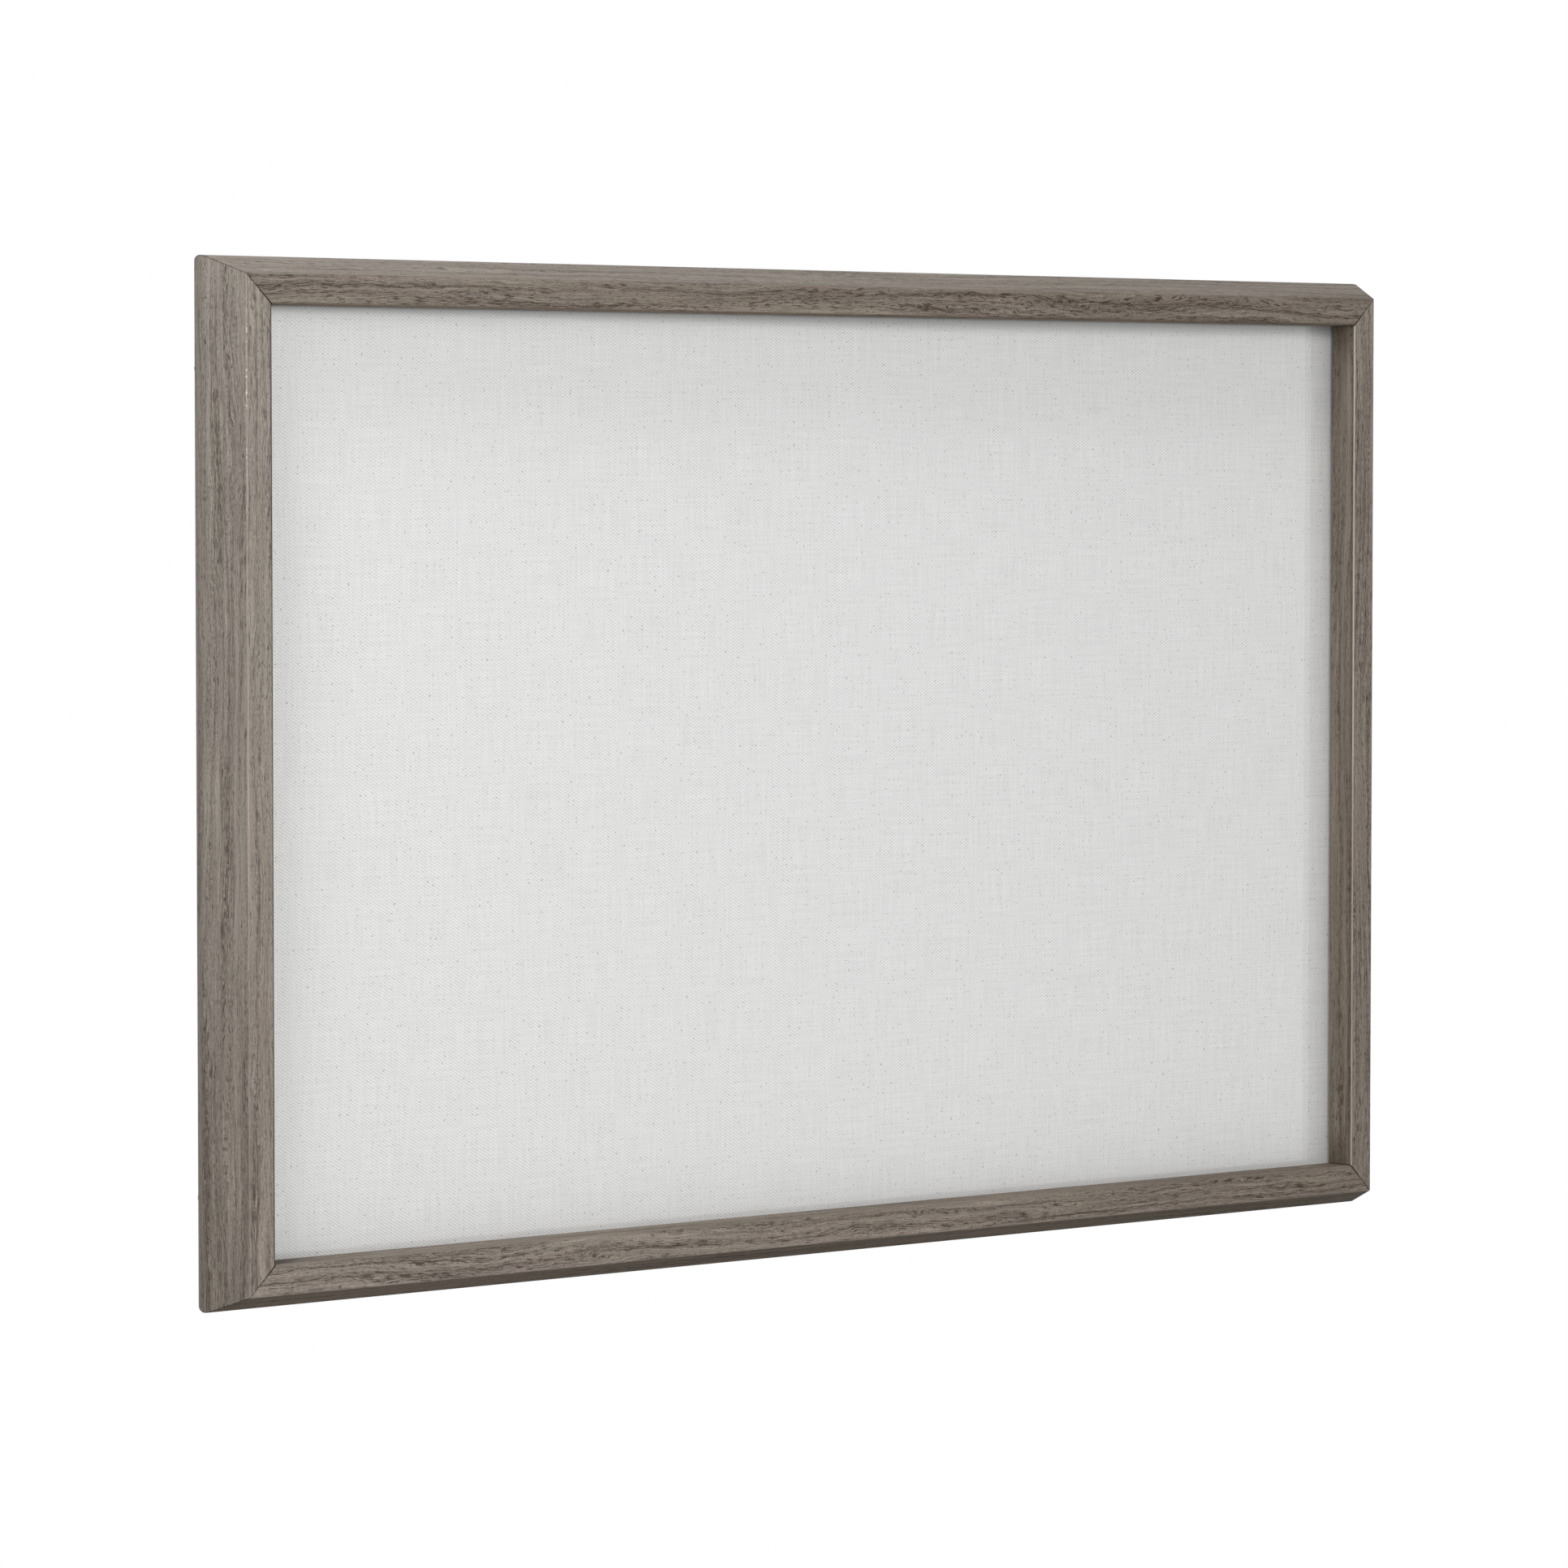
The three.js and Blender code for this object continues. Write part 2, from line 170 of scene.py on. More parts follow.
class MouldingSizes(bpy.types.PropertyGroup):
    """Section of the frame's moulding, and how its ends meet."""

    face: length("Face", "Width of the flat front face", 0.0148)
    depth: length("Depth", "Front face to back face", 0.0375)
    shoulder_out: length("Shoulder out", "Sharp shoulder outwards from the front arris", 0.0108)
    shoulder_back: length("Shoulder back", "Sharp shoulder in front of the back face", 0.0083)
    shoulder_tuck: length("Shoulder tuck", "Back face's edge inwards from the shoulder", 0.0066)
    shoulder_radius: length("Shoulder radius", "Round of the outer swell", 0.014)
    arris: length("Arris", "Round of the two front edges", 0.0008)
    back_radius: length("Back radius", "Round of the back's outer edge", 0.0012)
    rabbet: length("Rabbet", "Width of the ledge that carries the glass", 0.0065)
    lip: length("Lip", "Front face to the glass ledge", 0.0173)
    gap: length("Mitre gap", "Each solid's cut end to the true mitre", 0.0003)
    foil_gap: length("Foil gap", "Each foiled end to the true mitre", 0.00006)
    ease: length("Eased end", "Softening of the foil along the cut ends", 0.0003)
    foil_lap: length("Foil lap", "Foil turned over the outer edge of the back", 0.0055)
    nail_slot: length("Nail slot", "Width of a V nail's slot", 0.0011)
    nail_leg: length("Nail leg", "Bend of a V nail's slot to its ends", 0.0093)
    nail_depth: length("Nail depth", "Back face to the foot of a V nail's slot", 0.0106)
    pilot: length("Pilot", "Radius of a screw's pilot hole", 0.0019)
    pilot_past: length("Pilot past", "Pilot hole beyond the screw's point", 0.0003)
    stations: IntProperty(name="Stations", description="Sections along a member", default=25, min=4)


class LinenSizes(bpy.types.PropertyGroup):
    """Cloth drawn over the core."""

    thickness: length("Thickness", "Cloth thickness", 0.0006)
    turn: length("Turn", "Cloth turned over the back of the core", 0.025)
    edge: length("Edge", "Round of the cloth where it turns over the core", 0.0011)
    hold: length("Hold", "Straight run kept beside the round edge", 0.0006)
    across: length("Threads across", "Pitch of the upright threads", 0.00137)
    up: length("Threads up", "Pitch of the level threads", 0.00082)


class HardwareSizes(bpy.types.PropertyGroup):
    """Fastenings and hangers on the back."""

    button_head: length("Button head", "Radius round the screw of a turn button", 0.0042)
    button_tip: length("Button tip", "Radius of a turn button's tip", 0.0026)
    button_bore: length("Button bore", "Radius of a turn button's hole", 0.0018)
    button_reach: length("Button reach", "Screw to the middle of the tip", 0.01165)
    screw_rise: length("Screw rise", "Height of a pan head", 0.0019)
    button_shank: length("Button shank", "Radius of a turn button's screw under its head", 0.0015)
    strap_shank: length("Strap shank", "Radius of a strap's screw under its head", 0.0016)
    screw_play: length("Screw play", "Hole to shank", 0.0003)
    strap_thickness: length("Strap thickness", "Gauge of the hanger strap", 0.001)
    strap_width: length("Strap width", "Width of the hanger strap", 0.0082)
    strap_length: length("Strap length", "Ring axis to the rounded end", 0.036)
    wire: length("Ring wire", "Radius of the ring's wire", 0.0009)
    ring_play: length("Ring play", "Wire to the barrel round it", 0.0003)
    ring_side: length("Ring side", "Ring's middle to the middle of its wire", 0.00565)
    ring_leg: length("Ring leg", "Straight part of the ring's sides", 0.004)
    ring_bend: length("Ring bend", "Corner bend of the ring's wire", 0.002)
    pad_top: length("Pad top", "Radius of a bumper pad's flat top", 0.003)
    pad_wall: length("Pad wall", "Straight side under a pad's dome", 0.0012)
    pad_foot: length("Pad foot", "Eased edge of a pad's foot", 0.0003)
    seed: IntProperty(name="Seed", description="Turns the screw slots", default=4, min=0)


class BoardColours(bpy.types.PropertyGroup):
    """Colours of the finishes."""

    foil_rose: colour("Foil rose", "Warm ground of the foil", srgb(144, 135, 128))
    foil_olive: colour("Foil olive", "Cool ground of the foil", srgb(143, 137, 127))
    foil_pore: colour("Foil pore", "Printed pores", srgb(70, 60, 53))
    # Pale foil for rubbed edges and chips, also painted as a highlight along the edge crests
    foil_worn_and_highlight: colour("Foil worn", "Rubbed foil along the edges", srgb(232, 229, 223))
    foil_joint: colour("Foil joint", "Dark line along the mitres", srgb(30, 26, 22))
    core_wood: colour("Core wood", "Bare moulding core on the back", srgb(176, 148, 112))
    core_grain: colour("Core grain", "Darker grain of the bare core", srgb(136, 106, 74))
    linen: colour("Linen", "Bleached cloth", srgb(230, 229, 229))
    linen_fleck: colour("Linen fleck", "Husk flecks in the cloth", srgb(140, 137, 132))
    glass: colour("Glass", "Tint of the pane", (0.988, 0.994, 0.99))
    glass_light: colour("Glass light", "Light that the pane lets through", (0.965, 0.968, 0.965))
    fibreboard: colour("Fibreboard", "Core behind the linen", srgb(172, 155, 128))
    fibreboard_speck: colour("Fibreboard speck", "Dark specks in the core", srgb(110, 94, 70))
    hardboard: colour("Hardboard", "Back panel", srgb(118, 84, 56))
    hardboard_speck: colour("Hardboard speck", "Dark specks in the back panel", srgb(66, 44, 28))
    zinc: colour("Zinc", "Plated straps, rings and buttons", (0.47, 0.48, 0.5))
    steel: colour("Steel", "Screws and nails", (0.42, 0.42, 0.43))
    rubber: colour("Rubber", "Bumper pads", srgb(46, 45, 44))
    rubber_dust: colour("Rubber dust", "Dust on the bumper pads", srgb(96, 93, 89))
    floor: colour("Floor", "Pale studio floor", srgb(236, 236, 236))


class BoardSettings(bpy.types.PropertyGroup):
    """All sizes and colours of the board."""

    moulding: PointerProperty(type=MouldingSizes)
    linen: PointerProperty(type=LinenSizes)
    hardware: PointerProperty(type=HardwareSizes)
    colours: PointerProperty(type=BoardColours)


def settings():
    """The scene's sizes and colours."""
    return bpy.context.scene.writing_board


def find_socket(sockets, key):
    """A node's socket by its index, or its enabled socket of that name."""
    if isinstance(key, int):
        return sockets[key]
    for socket in sockets:
        if socket.enabled and socket.name == key:
            return socket
    raise KeyError(key)


def math_method(operation, swapped=False):
    """A method that makes one Math node of its value and its terms."""

    def method(self, *terms):
        inputs = (*terms, self) if swapped else (self, *terms)
        return self.graph.node("ShaderNodeMath", {"operation": operation}, dict(enumerate(inputs)))

    return method


class Value:
    """A node's output that takes part in arithmetic."""

    def __init__(self, graph, socket):
        self.graph = graph
        self.socket = socket

    def other(self, output):
        """Another output of the same node."""
        return Value(self.graph, find_socket(self.socket.node.outputs, output))

    __add__ = __radd__ = math_method("ADD")
    __sub__ = math_method("SUBTRACT")
    __rsub__ = math_method("SUBTRACT", swapped=True)
    __mul__ = __rmul__ = math_method("MULTIPLY")
    __truediv__ = math_method("DIVIDE")
    __rtruediv__ = math_method("DIVIDE", swapped=True)
    __gt__ = math_method("GREATER_THAN")
    __lt__ = math_method("LESS_THAN")
    __abs__ = math_method("ABSOLUTE")
    cosine = math_method("COSINE")
    sign = math_method("SIGN")
    least = math_method("MINIMUM")
    most = math_method("MAXIMUM")


class Graph:
    """A node tree that grows node by node."""

    def __init__(self, tree):
        self.tree = tree

    def node(self, kind, options=None, sockets=None, output=0):
        """A new node with its options and sockets set: one of its outputs."""
        made = self.tree.nodes.new(kind)
        for name, option in (options or {}).items():
            setattr(made, name, option)
        for key, value in (sockets or {}).items():
            socket = find_socket(made.inputs, key)
            if isinstance(value, Value):
                self.tree.links.new(value.socket, socket)
            else:
                socket.default_value = value
        return Value(self, find_socket(made.outputs, output))

    def vector(self, x=0.0, y=0.0, z=0.0):
        """Three values as one vector."""
        return self.node("ShaderNodeCombineXYZ", None, {"X": x, "Y": y, "Z": z})

    def place(self):
        """The piece's own x, y and z, in millimetres."""
        spot = self.node("ShaderNodeTexCoord", output="Object")
        x = self.node("ShaderNodeSeparateXYZ", None, {"Vector": spot}, "X")
        return x * MILLIMETRES, x.other("Y") * MILLIMETRES, x.other("Z") * MILLIMETRES

    def mark(self, name):
        """A value that the mesh carries at each point."""
        return self.node("ShaderNodeAttribute", {"attribute_name": name}, output="Fac")

    def noise(self, x, y, detail=1.0, roughness=0.5):
        """Two-dimensional noise, 0 to 1, one feature a unit."""
        sockets = {"Vector": self.vector(x, y), "Scale": 1.0, "Detail": detail, "Roughness": roughness}
        return self.node("ShaderNodeTexNoise", {"noise_dimensions": "2D"}, sockets)

    def cloud(self, scale, detail=2.0, roughness=0.5):
        """Noise through the piece, with scale features a metre."""
        spot = self.node("ShaderNodeTexCoord", output="Object")
        sockets = {"Vector": spot, "Scale": scale, "Detail": detail, "Roughness": roughness}
        return self.node("ShaderNodeTexNoise", None, sockets)

    def spread(self, value, low, high, bottom=0.0, top=1.0):
        """Value from low to high as bottom to top, eased and held at the ends."""
        sockets = {"Value": value, "From Min": low, "From Max": high, "To Min": bottom, "To Max": top}
        return self.node("ShaderNodeMapRange", {"interpolation_type": "SMOOTHSTEP"}, sockets)

    def mix(self, share, first, second, blend="MIX"):
        """Colours mixed by share."""
        sockets = {"Factor": share, "A": first, "B": second}
        return self.node("ShaderNodeMix", {"data_type": "RGBA", "blend_type": blend}, sockets, "Result")

    def toned(self, tint, level):
        """A colour times one level."""
        return self.mix(1.0, tint, self.vector(level, level, level), "MULTIPLY")

    def bump(self, height, strength, distance):
        """A normal from a height."""
        sockets = {"Height": height, "Strength": strength, "Distance": distance}
        return self.node("ShaderNodeBump", None, sockets, "Normal")

    def blend(self, share, first, second):
        """Shaders mixed by share."""
        return self.node("ShaderNodeMixShader", None, {0: share, 1: first, 2: second})

    def surface(self, shader, kind="ShaderNodeOutputMaterial"):
        """End the tree with that shader."""
        out = self.tree.nodes.new(kind)
        self.tree.links.new(shader.socket, out.inputs["Surface"])

    def principled(self, sockets):
        """End the tree with one principled shader."""
        self.surface(self.node("ShaderNodeBsdfPrincipled", None, sockets))


def solid(tint):
    """A colour with full alpha."""
    return tint[0], tint[1], tint[2], 1.0


def material(name):
    """A new material and the graph of its nodes."""
    made = bpy.data.materials.new(name)
    made.use_nodes = True
    made.node_tree.nodes.clear()
    return made, Graph(made.node_tree)


def once(name, make):
    """The material of that name, made on first use."""
    return bpy.data.materials.get(name) or make(name)


def foil_material(name):
    """Printed grey-brown wood foil on its own map: x along the member, y round the section."""
    sizes, tints = settings().moulding, settings().colours
    made, graph = material(name)
    place = graph.node("ShaderNodeUVMap", {"uv_map": FOIL_MAP})
    split = graph.node("ShaderNodeSeparateXYZ", None, {"Vector": place}, "X")
    along = split * MILLIMETRES
    girth = split.other("Y") * MILLIMETRES
    seam = graph.mark("from_mitre") * MILLIMETRES
    figure = graph.mark("figure")

    # Grain lines wander round the section, and carry rings, streaks and specks
    drift = (graph.noise(along * 0.006, girth * 0.04, 2.0) - 0.5) * 13.0
    ripple = (graph.noise(along * 0.05, girth * 0.22, 2.0) - 0.5) * 2.6
    line = girth + drift + ripple
    rings = graph.noise(along * 0.005 + 7.0, line * 0.32, 2.0, 0.55) - 0.5
    broad = graph.noise(along * 0.004, line * 0.1, 1.0) - 0.5
    streak = graph.noise(along * 0.022, line * 1.7, 3.0, 0.64) - 0.5
    speck = graph.noise(along * 0.6, line * 2.2, 2.0, 0.6) - 0.5
    tone = (broad * 0.25 + rings * 0.6 + streak * 1.3 + speck * 0.9) * (0.35 + figure * 0.65)
    cast = graph.noise(along * 0.011 + 40.0, line * 0.24, 2.0)
    foil = graph.mix(graph.spread(cast, 0.3, 0.7), solid(tints.foil_rose), solid(tints.foil_olive))
    foil = graph.toned(foil, 1.0 + tone)

    # Pores are fine dashes, and shorter pits where the foil is pitted
    pitted = graph.noise(along * 0.012 + 11.0, line * 0.08, 1.0) + graph.mark("pitted")
    pitted = graph.spread(pitted, 0.85, 1.15)
    dash = graph.noise(along * 0.13, line * 2.2, 3.0, 0.68) - rings * 0.35
    pit = graph.noise(along * 0.24, line * 1.9, 3.0, 0.66) - rings * 0.35
    pore = graph.spread(dash, 0.54, 0.605) * (1.0 - pitted) + graph.spread(pit, 0.54, 0.64) * pitted
    foil = graph.mix(pore * figure * 0.68, foil, solid(tints.foil_pore))

    # Each member's tone carries painted shade (its darker underside, inner walls and inner edges), with
    # painted shade deeper still in the frame's inner corners, warmer where it is darker
    corner = graph.spread(seam, 24.0, 0.0) * graph.spread(girth, 16.0, 9.0)
    shade = graph.mark("shade") * (1.0 - corner * 0.3)
    warm = (1.0 - shade).least(0.6)
    shade_tint = graph.vector(shade, shade * (1.0 - warm * 0.17), shade * (1.0 - warm * 0.34))
    foil = graph.mix(1.0, foil, shade_tint, "MULTIPLY")

    # Rubbed and nicked front edges; the pale line along the rubbed crests is partly wear and partly a
    # painted highlight
    nick = graph.spread(graph.noise(along * 0.3, along * 0.02, 2.0, 0.6), 0.56, 0.64)
    edge_rub_and_highlight = graph.mark("worn") * 0.5 + nick * graph.mark("nicked")
    foil = graph.mix(edge_rub_and_highlight, foil, solid(tints.foil_worn_and_highlight))

    # The mitre is chipped on its outer part, and shows as a line that is darkest at the inner edge
    chip = graph.spread(graph.noise(along * 0.9, girth * 0.9, 1.0), 0.66, 0.73)
    chip = chip * (seam < 1.0) * (girth > 27.0)
    foil = graph.mix(chip * 0.3, foil, solid(tints.foil_worn_and_highlight))
    inner_line = graph.spread(girth, 12.0, 17.5, 0.2, 0.75) - graph.spread(girth, 19.0, 27.0) * 0.57
    line_tone = inner_line + graph.spread(girth, 31.0, 34.0) * 0.28
    dark = graph.spread(seam, 0.75, 0.3) * line_tone
    foil = graph.mix(dark, foil, solid(tints.foil_joint))

    # Bare core on the back, beyond the foil's uneven edge
    grain = graph.noise(along * 0.025, girth * 1.1, 4.0, 0.62)
    wood = graph.mix(graph.spread(grain, 0.3, 0.72), solid(tints.core_wood), solid(tints.core_grain))
    edge = foil_edge(sizes) * MILLIMETRES + (graph.noise(along * 0.2, 3.0, 2.0) - 0.5) * 1.2
    bare = girth > edge
    rough = 0.58 + pore * 0.12 - edge_rub_and_highlight * 0.1 + warm * 0.5
    relief = streak * 0.5 - pore
    graph.principled(
        {
            "Base Color": graph.mix(bare, foil, wood),
            "Roughness": rough + bare * 0.35,
            "Normal": graph.bump(relief, 0.25, 0.00012),
            "Specular IOR Level": 0.1,
        }
    )
    return made


def linen_material(name):
    """Bleached plain weave: the level and upright threads cross in two slanting rows."""
    sizes, tints = settings().linen, settings().colours
    made, graph = material(name)
    x, y, z = graph.place()
    sway = (graph.noise(x * 0.03, z * 0.03, 2.0) - 0.5) * 0.9
    across = (x + sway - y) * (math.pi / (sizes.across * MILLIMETRES))
    up = (z + sway * 0.7) * (math.pi / (sizes.up * MILLIMETRES))

    # The falling rows show most left of the middle, and the rising rows right of it
    lean = graph.spread(x + (graph.noise(2.0, z * 0.02, 2.0) - 0.5) * 7.0, 6.5, 8.5)
    falling = (across + up).cosine() * (1.0 - lean * 0.7)
    rising = (across - up).cosine() * (0.3 + lean * 0.7)
    weave = falling + rising
    upright = graph.noise(x * 0.75, z * 0.035, 1.0)
    level = graph.noise(x * 0.03, z * 1.2, 1.0)
    slub = (upright + level - 1.0) * 0.9
    fleck = graph.spread(graph.noise(x * 0.6, z * 0.6, 1.0), 0.7, 0.82)
    cloth = graph.toned(solid(tints.linen), 0.95 + weave * 0.1 + slub * 0.14)
    cloth = graph.mix(fleck * 0.6, cloth, solid(tints.linen_fleck))

    # Soft shade under the top lip, which reaches lower towards the right, and along the right wall
    shade_end = graph.spread(x, -330.0, 150.0, 225.5, 221.5)
    under_lip = 1.0 - graph.spread(z, shade_end, 231.5) * 0.6
    by_wall = 1.0 - graph.spread(x, 357.2, 359.2) * 0.5
    cloth = graph.toned(cloth, under_lip * by_wall)
    graph.principled(
        {
            "Base Color": cloth,
            "Roughness": 0.92,
            "Normal": graph.bump(weave + slub, 0.12, 0.00012),
            "Specular IOR Level": 0.15,
            "Sheen Weight": 0.1,
        }
    )
    return made


def glass_material(name):
    """Clear pane that lets the lamps' light reach the linen."""
    tints = settings().colours
    made, graph = material(name)
    haze = graph.spread(graph.cloud(30.0), 0.3, 0.7, 0.0, 0.012)
    pane = graph.node(
        "ShaderNodeBsdfPrincipled",
        None,
        {
            "Base Color": solid(tints.glass),
            "Roughness": haze,
            "IOR": 1.5,
            "Specular IOR Level": 0.3,
            "Transmission Weight": 1.0,
        },
    )
    clear = graph.node("ShaderNodeBsdfTransparent", None, {"Color": solid(tints.glass_light)})
    bounced = graph.node("ShaderNodeLightPath", output="Is Diffuse Ray")
    shadow = bounced.other("Is Shadow Ray")
    graph.surface(graph.blend(shadow, graph.blend(bounced, pane, clear), clear))
    return made


def board_material(name, tint, speck, fineness, rough):
    """Pressed fibres: a mottled ground with stray fibres in two directions, and dark specks."""
    made, graph = material(name)
    x, _, z = graph.place()
    mottle = graph.noise(x * 0.03, z * 0.03, 5.0, 0.7)
    stray = (graph.noise(x * 0.09, z * 0.09, 2.0) - 0.5) * 16.0
    falling_along = (x * 0.9 + z * 0.43 + stray) * 0.22
    falling_across = (z * 0.9 - x * 0.43 + stray) * fineness
    rising_along = (x * 0.64 - z * 0.77 - stray) * 0.22
    rising_across = (x * 0.77 + z * 0.64 - stray) * fineness
    falling = graph.noise(falling_along, falling_across, 2.0, 0.6)
    rising = graph.noise(rising_along, rising_across, 2.0, 0.6)
    strand = falling + rising - 1.0
    ground = graph.toned(solid(tint), 1.0 + (mottle - 0.5) * 0.45 + strand * 0.6)
    dot = graph.spread(graph.noise(x * 0.8, z * 0.8, 1.0), 0.7, 0.8)
    graph.principled(
        {
            "Base Color": graph.mix(dot * 0.4, ground, solid(speck)),
            "Roughness": rough + strand * 0.2,
            "Normal": graph.bump(strand + mottle * 0.5, 0.3, 0.0002),
        }
    )
    return made


def fibreboard_material(name):
    """Light board behind the linen."""
    tints = settings().colours
    return board_material(name, tints.fibreboard, tints.fibreboard_speck, fineness=1.1, rough=0.9)


def hardboard_material(name):
    """Dense board that closes the back."""
    tints = settings().colours
    return board_material(name, tints.hardboard, tints.hardboard_speck, fineness=1.6, rough=0.5)


def metal_material(name, tint, rough, grain):
    """Plated or bright metal with a cloudy finish and faint rubbing."""
    made, graph = material(name)
    cloud = graph.cloud(grain, 3.0, 0.6)
    scuff = graph.cloud(grain * 9.0, 2.0, 0.6)
    graph.principled(
        {
            "Base Color": graph.toned(solid(tint), 0.86 + cloud * 0.28),
            "Metallic": 1.0,
            "Roughness": rough + (cloud - 0.5) * 0.25 + (scuff - 0.5) * 0.18,
            "Normal": graph.bump(scuff, 0.08, 0.00005),
        }
    )
    return made


def zinc_material(name):
    """Zinc plating of the buttons, straps and rings."""
    return metal_material(name, settings().colours.zinc, rough=0.4, grain=260.0)


def screw_material(name):
    """Bright steel of the screws."""
    return metal_material(name, settings().colours.steel, rough=0.3, grain=500.0)


def nail_material(name):
    """Dull steel of the V nails."""
    return metal_material(name, settings().colours.steel, rough=0.45, grain=400.0)


def rubber_material(name):
    """Dull moulded rubber with a fine grain and dust."""
    tints = settings().colours
    made, graph = material(name)
    grain = graph.cloud(3200.0, 2.0)
    dust = graph.spread(graph.cloud(420.0, 4.0, 0.65), 0.5, 0.75)
    graph.principled(
        {
            "Base Color": graph.mix(dust * 0.35, solid(tints.rubber), solid(tints.rubber_dust)),
            "Roughness": 0.72 + dust * 0.18,
            "Normal": graph.bump(grain, 0.25, 0.00008),
        }
    )
    return made


def geometry_tree(name, inputs):
    """A Geometry Nodes tree with named inputs: its graph and a value for each input."""
    tree = bpy.data.node_groups.new(name, "GeometryNodeTree")
    for label, kind in inputs.items():
        tree.interface.new_socket(name=label, in_out="INPUT", socket_type=kind)
    tree.interface.new_socket(name="Geometry", in_out="OUTPUT", socket_type="NodeSocketGeometry")
    graph = Graph(tree)
    given = tree.nodes.new("NodeGroupInput")
    return graph, {label: Value(graph, given.outputs[label]) for label in inputs}


def end_tree(graph, geometry, finish):
    """Close a tree with Realize Instances and Set Material."""
    real = graph.node("GeometryNodeRealizeInstances", None, {"Geometry": geometry})
    done = graph.node("GeometryNodeSetMaterial", None, {"Geometry": real, "Material": finish})
    out = graph.tree.nodes.new("NodeGroupOutput")
    graph.tree.links.new(done.socket, out.inputs[0])
    return graph.tree


def add_tree(obj, tree, values):
    """Put the tree on obj with its inputs set."""
    modifier = obj.modifiers.new(tree.name, "NODES")
    modifier.node_group = tree
    for socket in tree.interface.items_tree:
        if socket.in_out == "INPUT" and socket.name in values:
            modifier[socket.identifier] = values[socket.name]


def new_object(name, mesh=None):
    """An object in the scene, with an empty mesh if none is given."""
    obj = bpy.data.objects.new(name, mesh or bpy.data.meshes.new(name))
    bpy.context.scene.collection.objects.link(obj)
    return obj


def settle(obj):
    """Turn obj's live modifiers into the plain mesh that they make."""
    bpy.context.view_layer.update()
    graph = bpy.context.evaluated_depsgraph_get()
    evaluated = obj.evaluated_get(graph)
    made = bpy.data.meshes.new_from_object(evaluated, preserve_all_data_layers=True, depsgraph=graph)
    made.name = obj.name
    obj.modifiers.clear()
    spare = obj.data
    obj.data = made
    bpy.data.meshes.remove(spare)
    return made


def drop(obj):
    """Remove a helper object."""
    bpy.data.objects.remove(obj)


def mesh_of(name, shape):
    """A mesh with outward faces from a bmesh, which is freed."""
    bmesh.ops.recalc_face_normals(shape, faces=shape.faces)
    mesh = bpy.data.meshes.new(name)
    shape.to_mesh(mesh)
    shape.free()
    return mesh


def face_out(mesh):
    """Turn a mesh's faces outwards."""
    shape = bmesh.new()
    shape.from_mesh(mesh)
    bmesh.ops.recalc_face_normals(shape, faces=shape.faces)
    shape.to_mesh(mesh)
    shape.free()


def smooth(mesh, degrees=32):
    """Smooth shading up to that angle between faces."""
    mesh.shade_smooth()
    mesh.set_sharp_from_angle(angle=math.radians(degrees))


def coat(mesh, finish):
    """Give a mesh one finish in place of any other."""
    mesh.materials.clear()
    mesh.materials.append(finish)


def carve(piece, cutter):
    """Cut the cutter's shape out of piece, after its other modifiers: the plain mesh that is left."""
    tool = new_object(f"{piece.name}_cutter", cutter)
    cut = piece.modifiers.new("cut", "BOOLEAN")
    cut.object = tool
    cut.operation = "DIFFERENCE"
    cut.solver = "EXACT"
    mesh = settle(piece)
    drop(tool)
    return mesh


def finish_piece(obj, body, slot, *nodes):
    """Give a finished piece its body and hide the solids that it stands for; slot is not used."""
    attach(obj, body)
    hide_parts(*nodes)


def dress(node, finish):
    """Give a solid that stays its own finish."""
    coat(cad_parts[node].data, finish)


def nodes_ending(end):
    """The frame's solids whose names end so, in the frame's order."""
    return [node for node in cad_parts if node.endswith(end)]


def middle_of(node):
    """Middle of a solid's box."""
    low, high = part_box(node)
    return (low + high) / 2


def arc(start, end, steps):
    """Cosine and sine at even steps from one angle to another, ends included."""
    turns = [start + (end - start) * step / steps for step in range(steps + 1)]
    return [(math.cos(turn), math.sin(turn)) for turn in turns]


def rounded(before, corner, after, radius, steps):
    """Points round a corner, with a holding point on each straight edge so that the flats shade flat."""
    corner, into, out = Vector(corner), Vector(corner) - Vector(before), Vector(after) - Vector(corner)
    into.normalize()
    out.normalize()
    turn = math.atan2(into.x * out.y - into.y * out.x, into.dot(out))
    trim = radius * math.tan(abs(turn) / 2)
    start = corner - into * trim
    centre = start + Vector((-into.y, into.x)) * math.copysign(radius, turn)
    spoke = start - centre
    points = [start - into * SECTION_HOLD]
    for step in range(steps + 1):
        points.append(centre + Matrix.Rotation(turn * step / steps, 2) @ spoke)
    points.append(corner + out * (trim + SECTION_HOLD))
    return points


def section_points(sizes):
    """The moulding's section, outwards and back from the front outer arris, starting at the ledge."""
    wall = sizes.rabbet - sizes.face
    shoulder = (sizes.shoulder_out, sizes.depth - sizes.shoulder_back)
    back = (sizes.shoulder_out - sizes.shoulder_tuck, sizes.depth)
    foot = (-sizes.face, sizes.lip)
    inner, outer = (-sizes.face, 0.0), (0.0, 0.0)
    heel = (wall, sizes.depth)
    points = [Vector(foot), Vector((-sizes.face, sizes.arris + WALL_LINE_END))]
    points += rounded(foot, inner, outer, sizes.arris, 6)
    points += rounded(inner, outer, shoulder, sizes.arris, 5)
    points += rounded(outer, shoulder, back, sizes.shoulder_radius, 26)
    points += rounded(shoulder, back, heel, sizes.back_radius, 5)
    points += [Vector(heel), Vector((wall, sizes.lip))]
    return points


def swell(sizes):
    """How far the moulding swells beyond its front outer arris."""
    return max(point.x for point in section_points(sizes))


def foil_edge(sizes):
    """Girth from the ledge to where the foil ends on the back."""
    points = section_points(sizes)
    run = 0.0
    for start, end in zip(points, points[1:]):
        if end.y > sizes.depth - 1e-6 and start.y > sizes.depth - 1e-6:
            return run + sizes.foil_lap
        run += (end - start).length
    raise ValueError("the section has no back face")


